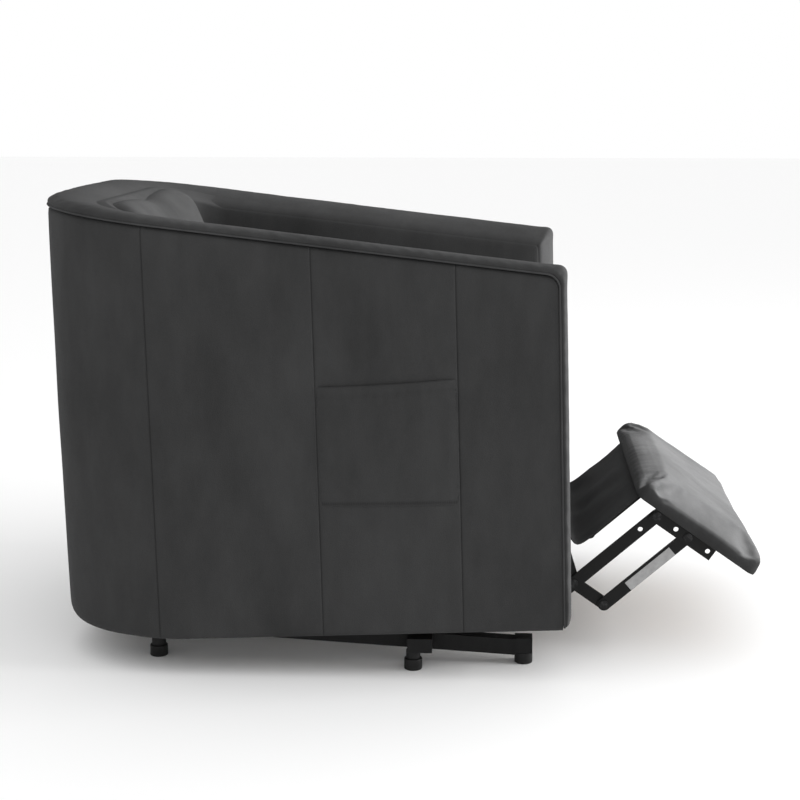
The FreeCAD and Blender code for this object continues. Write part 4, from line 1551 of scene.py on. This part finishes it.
@dataclass
class Seating:
    """The loose seat cushion and back cushion, and the padded front of the seat."""

    plan: TubPlan
    finishes: Finishes
    welt_inset: float = 13 * MM
    welt_depth: float = 2.0 * MM
    welt_width: float = 3.4 * MM
    front_padding: float = 4 * MM
    rail_wrap: float = 2.0 * MM
    back_tuck: float = 66 * MM
    back_rise: float = 30 * MM
    back_slant: float = 52 * MM
    crease_depth: float = 1.1 * MM
    gather_depth: float = 0.9 * MM
    link_room: float = 8 * MM
    rivet_room: float = 11 * MM
    shaft_room: float = 4 * MM
    slit_step: float = 1.5 * MM
    strap_width: float = 50 * MM
    strap_thickness: float = 2 * MM
    strap_wave: float = 1.6 * MM
    straps_lengthwise: int = 4
    straps_crosswise: int = 5
    strap_steps: int = 60

    def settle(self, low: Vector, high: Vector, thick_axis: int) -> Callable[[Vector, Vector], Vector]:
        """Details of a box cushion: two welts round it, soft creases, and its room's limits.

        Args:
            low: Lowest corner of its room.
            high: Highest corner.
            thick_axis: The axis across its thickness.

        Returns:
            The detail function.
        """

        def detail(point: Vector, normal: Vector) -> Vector:
            """The final place of a point with that normal."""
            depth = min(point[thick_axis] - low[thick_axis], high[thick_axis] - point[thick_axis])
            sideways = 1 - abs(normal[thick_axis])
            welt = bell(depth - self.welt_inset, self.welt_width) * min(sideways * 1.6, 1.0)
            crease = ripple(point, Direction.EVEN, 1.2) + 0.5 * ripple(point, Direction.SLANTED, 3.0)
            gathers = ripple(point, Direction.EVEN, 6.0) * bell(depth - self.welt_inset, 14 * MM)
            out = self.crease_depth * crease + self.gather_depth * gathers - self.welt_depth * welt
            point = point + normal * out
            return Vector(min(max(point[i], low[i]), high[i]) for i in range(3))

        return detail

    def seat_cushion(self) -> bpy.types.Object:
        """The seat cushion, crowned on top and rounded at the front.

        Returns:
            The piece cushion_seat.
        """
        low, high = self.plan.drawing.box("seat_cushion")
        room_high = high + Vector((0, 0, 9 * MM))
        room_low = low + Vector((0, -4 * MM, 0))
        block = SoftBlock(
            "cushion_seat", self.plan.drawing.matrix, low, high,
            Vector((9 * MM, 9 * MM, 14 * MM)), corner=24 * MM, edge=26 * MM, reach=26 * MM,
        )
        piece = block.build(self.settle(room_low, room_high, 2), self.finishes.cover)
        return self.declare(piece, "seat_cushion")

    def back_cushion(self) -> bpy.types.Object:
        """The back cushion, fuller in the middle and pulled in at its corners.

        Returns:
            The piece cushion_back.
        """
        low, high = self.plan.drawing.box("back_cushion")
        beside = self.plan.inner_x - 2 * MM
        low.x, high.x = -beside, beside
        high = high + Vector((0, self.back_tuck, self.back_rise))
        room_low = low - Vector((0, 9 * MM, 0))
        block = SoftBlock(
            "cushion_back", self.plan.drawing.matrix, low, high,
            Vector((8 * MM, 13 * MM, 9 * MM)), corner=30 * MM, edge=34 * MM, reach=28 * MM, calm=40,
        )
        settled = self.settle(room_low, high, 1)

        def slanted(point: Vector, normal: Vector) -> Vector:
            """The settled place, leaned back towards the top."""
            point = settled(point, normal)
            up = min(max((point.z - low.z) / (high.z - low.z), 0.0), 1.0)
            front = (high.y - point.y) / (high.y - low.y)
            point.y += self.back_slant * up**1.5 * front
            return point

        piece = block.build(slanted, self.finishes.cover)
        return self.declare(piece, "back_cushion")

    def declare(self, piece: bpy.types.Object, node: str) -> bpy.types.Object:
        """Ride a cushion on the tub in place of its CAD solid.

        Args:
            piece: The cushion.
            node: Its CAD solid.

        Returns:
            The same piece.
        """
        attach(piece, "tub")
        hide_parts(node)
        return piece

    def seat_front(self) -> bpy.types.Object:
        """The padded cloth on the seat's front rail, cut away for the links.

        Returns:
            The piece seat_front_panel.
        """
        low, high = self.plan.drawing.box("seat_front_cover")
        links = self.plan.drawing.box("swing_link_left")
        room, past = links[0].x - self.link_room, links[1].x + self.rivet_room
        lifted = self.plan.drawing.box("drive_shaft")[1].z + self.shaft_room
        rail_back = self.plan.drawing.box("seat_front_rail")[1].y
        slits = [room, room + self.slit_step, past - self.slit_step, past]
        edges = [low.x, *(-x for x in slits), *slits, high.x]
        inside = [x for x in spread(low.x, high.x, 52) if min(abs(x - e) for e in edges) > 3 * MM]
        rings = []
        for x in sorted(inside + edges):
            bottom = lifted if room < abs(x) < past else low.z
            rings.append(self.front_ring(x, Vector((low.y, high.y, rail_back)), bottom, high.z))
        piece = smooth_once(finished("seat_front_panel", skin(rings), self.plan.drawing.matrix))
        self.finishes.dress(piece, self.finishes.cover)
        return self.declare(piece, "seat_front_cover")

    def front_ring(self, x: float, depth: Vector, bottom: float, top: float) -> list[Vector]:
        """A section of the seat's front cloth: up its face and down its back.

        Args:
            x: Place across the seat.
            depth: Y of the face, of the cloth's back and of the rail's back.
            bottom: Lowest height.
            top: Height of the rail.

        Returns:
            The ring of points.
        """
        face = []
        for z in spread(bottom, top, 10):
            share = (z - bottom) / (top - bottom)
            round_off = (4 * share * (1 - share)) ** 0.4 if 0 < share < 1 else 0.0
            soft = 0.8 * MM * ripple(Vector((x, 0, z)), Direction.UPRIGHT, 2.0)
            out = (self.front_padding + soft) * round_off
            face.append(Vector((x, depth.x - out + 1 * MM, z)))
        over_y = spread(depth.x + 1 * MM, depth.z, 4)
        over = [Vector((x, y, top + self.rail_wrap)) for y in over_y]
        under = [Vector((x, depth.z, top + 0.3 * MM)), Vector((x, depth.y, top + 0.3 * MM))]
        back = [Vector((x, depth.y, z)) for z in spread(top, bottom, 4)]
        return face + over + under + back[1:]

    def build(self) -> list[bpy.types.Object]:
        """Make the cushions and the seat's front."""
        return [self.seat_cushion(), self.back_cushion(), self.seat_front(), self.webbing()]

    def webbing(self) -> bpy.types.Object:
        """Elastic straps woven over and under each other between the rails.

        Returns:
            The piece seat_straps.
        """
        low, high = self.plan.drawing.box("seat_webbing")
        middle = (low.z + high.z) / 2
        plate = self.plan.drawing.box("side_plate_left")[0].x
        pitch_x = 2 * plate / self.straps_lengthwise
        pitch_y = (high.y - low.y) / self.straps_crosswise
        parts = bmesh.new()
        half = Vector((self.strap_width / 2, 0, 0))
        for i in range(self.straps_lengthwise):
            x = -plate + (i + 0.5) * pitch_x
            rings = []
            for y in spread(low.y, high.y, self.strap_steps):
                over = math.sin(math.pi * ((y - low.y) / pitch_y + i))
                rings.append(self.strap_ring(Vector((x, y, middle + self.strap_wave * over)), half))
            self.add_to(parts, rings)
        half = Vector((0, self.strap_width / 2, 0))
        for i in range(self.straps_crosswise):
            y = low.y + (i + 0.5) * pitch_y
            rings = []
            for x in spread(-plate, plate, self.strap_steps):
                over = math.sin(math.pi * ((x + plate) / pitch_x + i + 1))
                rings.append(self.strap_ring(Vector((x, y, middle + self.strap_wave * over)), half))
            self.add_to(parts, rings)
        piece = finished("seat_straps", parts, self.plan.drawing.matrix)
        self.finishes.dress(piece, self.finishes.webbing)
        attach(piece, "tub")
        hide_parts("seat_webbing")
        return piece

    def strap_ring(self, centre: Vector, half: Vector) -> list[Vector]:
        """The flat section of a strap, thinner at its edges.

        Args:
            centre: Middle of the strap.
            half: From there to its edge.

        Returns:
            The ring of points.
        """
        up = Vector((0, 0, self.strap_thickness / 2))
        edge = half * 0.97
        offsets = (-edge - up, -half, up - edge, edge + up, half, edge - up)
        return [centre + offset for offset in offsets]

    def add_to(self, parts: bmesh.types.BMesh, rings: list[list[Vector]]) -> None:
        """Add one strap's skin to the others.

        Args:
            parts: All the straps, added to.
            rings: The strap's rings.
        """
        one = skin(rings)
        mesh = bpy.data.meshes.new("strap")
        one.to_mesh(mesh)
        one.free()
        parts.from_mesh(mesh)
        bpy.data.meshes.remove(mesh)


# ---- Footrest ----------------------------------------------------------------------------------
@dataclass
class Footrest:
    """The footrest's upholstered pad, gathered along its rear edge, and the hanging flap."""

    pad: Local
    tub: Local
    finishes: Finishes
    gathers: int = 19
    gather_depth: float = 2.0 * MM
    gather_reach: float = 24 * MM
    gather_start: float = 5 * MM
    hollows: float = 1.2 * MM
    creases: float = 0.6 * MM
    tuck_depth: float = 0.7 * MM
    tuck_pitch: float = 19 * MM
    tuck_width: float = 9 * MM
    wrap: float = 18 * MM
    under_hollow: float = 2.5 * MM
    under_reach: float = 4 * MM
    side_swell: float = 3 * MM
    flap_half_width: float = 204 * MM
    flap_cloth: float = 1.8 * MM
    flap_forward: float = 38 * MM
    flap_drop: float = 141 * MM
    flap_columns: int = 40
    flap_rows: int = 54
    flap_cuts: tuple[float, float] = (0.36, 0.68)
    flap_tuck: float = 16 * MM
    flap_sag: float = 7 * MM
    fold_depth: float = 5.0 * MM
    hem_depth: float = 2.5 * MM
    hem_width: float = 12 * MM
    blend_margin: float = 0.12
    board_cover: float = 1.2 * MM
    hold_depth: float = 6 * MM

    def settle(self, low: Vector, high: Vector) -> Callable[[Vector, Vector], Vector]:
        """The pad's details: gathers, soft hollows, and its flat underside.

        Args:
            low: Lowest corner of the pad.
            high: Its highest corner.

        Returns:
            Gives a point's final place from its place and normal.
        """
        wide = high.y - low.y

        def detail(point: Vector, normal: Vector) -> Vector:
            """The final place of a point with that normal."""
            along = point.x - low.x
            upper = min(max((point.z - low.z) / (high.z - low.z), 0.0), 1.0)
            wander = ripple(Vector((0, point.y, 0)), Direction.EVEN, 1.7) * 1.6
            phase = self.gathers * (point.y - low.y) / wide + wander
            strength = 0.75 + 0.5 * ripple(Vector((0.3, point.y, 0)), Direction.EVEN, 2.0)
            ridge = (abs(math.sin(math.pi * phase)) ** 0.6 - 0.65) * strength
            reach = self.gather_reach * (0.8 + 0.5 * ripple(Vector((0.7, point.y, 0)), Direction.EVEN, 2.6))
            fade = bell(max(along - self.gather_start, 0.0), reach) * min(upper * 1.6, 1.0)
            out = self.gather_depth * ridge * fade
            out += self.hollows * ripple(point, Direction.EVEN, 1.1)
            out += self.creases * ripple(point, Direction.SLANTED, 2.6)
            side = min(point.y - low.y, high.y - point.y)
            tucks = math.sin(2 * math.pi * along / self.tuck_pitch)
            out += self.tuck_depth * tucks * bell(side, self.tuck_width) * upper
            point = point + normal * out
            beside = min(side, along, high.x - point.x)
            floor = low.z if beside < self.wrap else low.z + self.under_hollow
            under = point.z < low.z + self.under_reach and normal.z < -0.5
            point.z = floor if under else max(point.z, floor)
            point.y = min(max(point.y, low.y - self.side_swell), high.y + self.side_swell)
            return point

        return detail

    def build_pad(self) -> bpy.types.Object:
        """Make the pad, which rides on the footrest.

        Returns:
            The piece footrest_cushion.
        """
        low, high = self.pad.box("footrest_pad")
        board_low, board_high = self.pad.box("footrest_board")
        low.z = board_low.z - self.board_cover
        block = SoftBlock(
            "footrest_cushion", self.pad.matrix, low, high,
            Vector((2.5 * MM, 2.5 * MM, 0.0)), corner=14 * MM, edge=22 * MM,
            voxel=4.5 * MM, reach=8 * MM, pressure=3.0, held_below=board_high.z - self.hold_depth,
        )
        # The pad's cloth has painted light on its top.
        piece = block.build(self.settle(low, high), self.finishes.pad_top_painted_light)
        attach(piece, "footrest")
        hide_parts("footrest_pad")
        return piece

    def hang(self) -> list[Vector]:
        """The flap's line from the front rail down and up to the pad, in the row frame.

        Returns:
            Five points from the rail to the pad.
        """
        rail_low, rail_high = self.tub.box("seat_front_rail")
        start = Vector((0, (rail_low.y + rail_high.y) / 2, rail_low.z - self.flap_cloth))
        drop = start + Vector((0, -self.flap_forward * 0.22, -self.flap_drop * 0.45))
        belly = start + Vector((0, -self.flap_forward, -self.flap_drop))
        pad_low, _ = self.pad.box("footrest_pad")
        board_low, _ = self.pad.box("footrest_board")
        tucked = Vector((pad_low.x + self.flap_tuck, 0, board_low.z - self.flap_cloth))
        end = self.pad.matrix @ tucked
        start, drop, belly = (self.tub.matrix @ p for p in (start, drop, belly))
        rise = belly.lerp(end, 0.5) - Vector((0, 0, self.flap_sag))
        return [start, drop, belly, rise, end]

    def curve(self, count: int) -> list[Vector]:
        """The hanging line, smooth, as evenly spaced points.

        Args:
            count: How many steps it has.

        Returns:
            The points.
        """
        keys = self.hang()
        padded = [keys[0] * 2 - keys[1], *keys, keys[-1] * 2 - keys[-2]]
        fine = []
        for a, b, c, d in zip(padded, padded[1:], padded[2:], padded[3:]):
            square = a * 2 - b * 5 + c * 4 - d
            cube = b * 3 - a - c * 3 + d
            for t in spread(0.0, 1.0, 24)[:-1]:
                fine.append((b * 2 + (c - a) * t + square * t**2 + cube * t**3) / 2)
        fine.append(keys[-1])
        steps = [(q - p).length for p, q in zip(fine, fine[1:])]
        lengths = np.concatenate([[0.0], np.cumsum(steps)])
        places = np.interp(np.linspace(0, lengths[-1], count + 1), lengths, range(len(fine)))
        found = []
        for place in places:
            i = min(int(place), len(fine) - 2)
            found.append(fine[i].lerp(fine[i + 1], place - i))
        return found

    def flap_ring(self, x: float, line: list[Vector], first: int, last: int) -> list[Vector]:
        """An upright section of the flap between two steps of its line.

        Args:
            x: Place across the flap.
            line: The whole hanging line.
            first: First step of this length.
            last: Last step of this length.

        Returns:
            The ring of points.
        """
        upper, under = [], []
        for i in range(first, last + 1):
            before, after = line[max(i - 1, 0)], line[min(i + 1, len(line) - 1)]
            way = (after - before).normalized()
            normal = way.cross(Vector((1, 0, 0)))
            share = i / (len(line) - 1)
            loose = math.sin(math.pi * share) ** 1.2
            spot = Vector((x, share * 0.3, 0))
            fold = ripple(spot, Direction.UPRIGHT, 1.1) + 0.4 * math.sin(x * 55 + 6 * share)
            hem = bell(self.flap_half_width - abs(x), self.hem_width)
            centre = line[i] + normal * loose * (self.fold_depth * fold + self.hem_depth * hem)
            centre.x = x + 1.5 * MM * ripple(Vector((0, share * 3, x)), Direction.EVEN)
            upper.append(centre + normal * self.flap_cloth / 2)
            under.append(centre - normal * self.flap_cloth / 2)
        return upper + under[::-1]

    def build_flap(self) -> list[bpy.types.Object]:
        """Make the flap in three lengths, each fixed in the row frame.

        Returns:
            The three lengths, from the rail to the pad.
        """
        line = self.curve(self.flap_rows)
        count = self.flap_rows
        cuts = [0, *(round(count * share) for share in self.flap_cuts), count]
        joined = [("tub", "swing"), ("swing", "upper_right"), ("upper_right", "footrest")]
        names = ["gap_flap_rail_end", "gap_flap_belly", "gap_flap_pad_end"]
        pieces = []
        across = spread(-self.flap_half_width, self.flap_half_width, self.flap_columns)
        for name, (a, b), first, last in zip(names, joined, cuts, cuts[1:]):
            bm = skin([self.flap_ring(x, line, first, last) for x in across])
            piece = finished(name, bm)
            piece.data.set_sharp_from_angle(angle=math.radians(50))
            self.finishes.dress(piece, self.finishes.cover)
            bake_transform(piece)
            pieces.append(piece)
        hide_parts("gap_flap")
        return pieces


# ---- Hard parts --------------------------------------------------------------------------------
@dataclass
class HardParts:
    """The frames, linkage, base and fasteners: CAD nodes with their finishes."""

    finishes: Finishes

    def finish_of(self, slot: str) -> bpy.types.Material:
        """The finish for a slot of the record.

        Args:
            slot: The slot.

        Returns:
            Its finish.
        """
        return {
            "frame_wood": self.finishes.wood,
            "webbing": self.finishes.webbing,
            "black_steel": self.finishes.steel,
            "zinc_steel": self.finishes.rivets,
            "black_plastic": self.finishes.plastic,
            "label_film": self.finishes.film,
        }.get(slot, self.finishes.cover)

    def build(self) -> int:
        """Dress every CAD node with the finish of its record slot.

        Returns:
            How many nodes are dressed.
        """
        for part in frame["record"]["subparts"]:
            node = frame["nodes"][part["node"]]
            self.finishes.dress(node, self.finish_of(part["material_slot"]))
        return len(frame["record"]["subparts"])


# ---- Studio ------------------------------------------------------------------------------------
@dataclass
class Studio:
    """A pale floor, soft light and the camera."""

    distance: float = 2.796
    forward: float = 0.1505
    height: float = 0.8811
    pitch: float = 8.6014
    yaw: float = 3.4602
    lens: float = 75.17
    lens_shift: float = -0.069
    floor_tone: tuple[float, float, float] = (0.95, 0.95, 0.95)
    floor_half: float = 20.0
    sky: float = 1.0
    key_at: tuple[float, float, float] = (-0.3, -3.6, 1.15)
    key_aim: tuple[float, float, float] = (0.0, 0.0, 0.45)
    key_size: float = 1.8
    key_watts: float = 112.0
    fill_at: tuple[float, float, float] = (-3.2, -0.9, 1.0)
    fill_aim: tuple[float, float, float] = (0.0, 0.0, 0.35)
    fill_size: float = 2.0
    fill_watts: float = 5.0

    def floor(self) -> None:
        """A wide plain floor under the glides."""
        bm = bmesh.new()
        bmesh.ops.create_grid(bm, x_segments=1, y_segments=1, size=self.floor_half)
        floor = finished("studio_floor", bm)
        kit = Nodes("pale_floor")
        kit.set(Base_Color=(*self.floor_tone, 1.0), Roughness=0.9, Specular_IOR_Level=0.1)
        floor.data.materials.append(kit.material)

    def light(self, name: str, at: Vector, aim: Vector, size: float, watts: float) -> None:
        """A large soft lamp at a place, aimed at another.

        Args:
            name: The lamp's name.
            at: Its place.
            aim: Where it points.
            size: Length of its side.
            watts: Its power.
        """
        data = bpy.data.lights.new(name, "AREA")
        data.shape = "SQUARE"
        data.size = size
        data.energy = watts
        lamp = bpy.data.objects.new(name, data)
        bpy.context.scene.collection.objects.link(lamp)
        lamp.location = at
        lamp.rotation_euler = (aim - at).to_track_quat("-Z", "Y").to_euler()

    def world(self) -> None:
        """An even white surround."""
        world = bpy.data.worlds.new("studio")
        world.use_nodes = True
        back = world.node_tree.nodes["Background"]
        back.inputs["Color"].default_value = (1.0, 1.0, 1.0, 1.0)
        back.inputs["Strength"].default_value = self.sky
        bpy.context.scene.world = world
        bpy.context.scene.view_settings.view_transform = "Standard"

    def camera(self) -> None:
        """The camera at the chair's right-hand side."""
        data = bpy.data.cameras.new("camera")
        data.lens = self.lens
        data.sensor_width = 36.0
        data.shift_y = self.lens_shift
        camera = bpy.data.objects.new("camera", data)
        bpy.context.scene.collection.objects.link(camera)
        camera.location = (-self.distance, -self.forward, self.height)
        turn = math.radians(-90.0 + self.yaw)
        camera.rotation_euler = (math.radians(90.0 - self.pitch), 0.0, turn)
        bpy.context.scene.camera = camera

    def build(self) -> None:
        """Set the studio up."""
        self.floor()
        self.world()
        key_at, fill_at = Vector(self.key_at), Vector(self.fill_at)
        self.light("key", key_at, Vector(self.key_aim), self.key_size, self.key_watts)
        self.light("fill", fill_at, Vector(self.fill_aim), self.fill_size, self.fill_watts)
        self.camera()


def main() -> None:
    """Build the chair's looks and the studio round its frame."""
    logging.basicConfig(level=logging.INFO)
    finishes = Finishes()
    drawing = leaned_drawing()
    plan = TubPlan(drawing)
    log.info("dressed %d CAD nodes", HardParts(finishes).build())
    walls = TubWalls(plan, finishes)
    log.info("made %s", walls.build().name)
    for piece in RimBand(plan, finishes).build():
        log.info("made %s", piece.name)
    for side in Side:
        log.info("made %s", SidePocket(plan, walls, finishes).build(side).name)
    for piece in Seating(plan, finishes).build():
        log.info("made %s", piece.name)
    footrest = Footrest(pad_drawing(), drawing, finishes)
    log.info("made %s", footrest.build_pad().name)
    for piece in footrest.build_flap():
        log.info("made %s", piece.name)
    Studio().build()


if __name__ == "__main__":
    main()
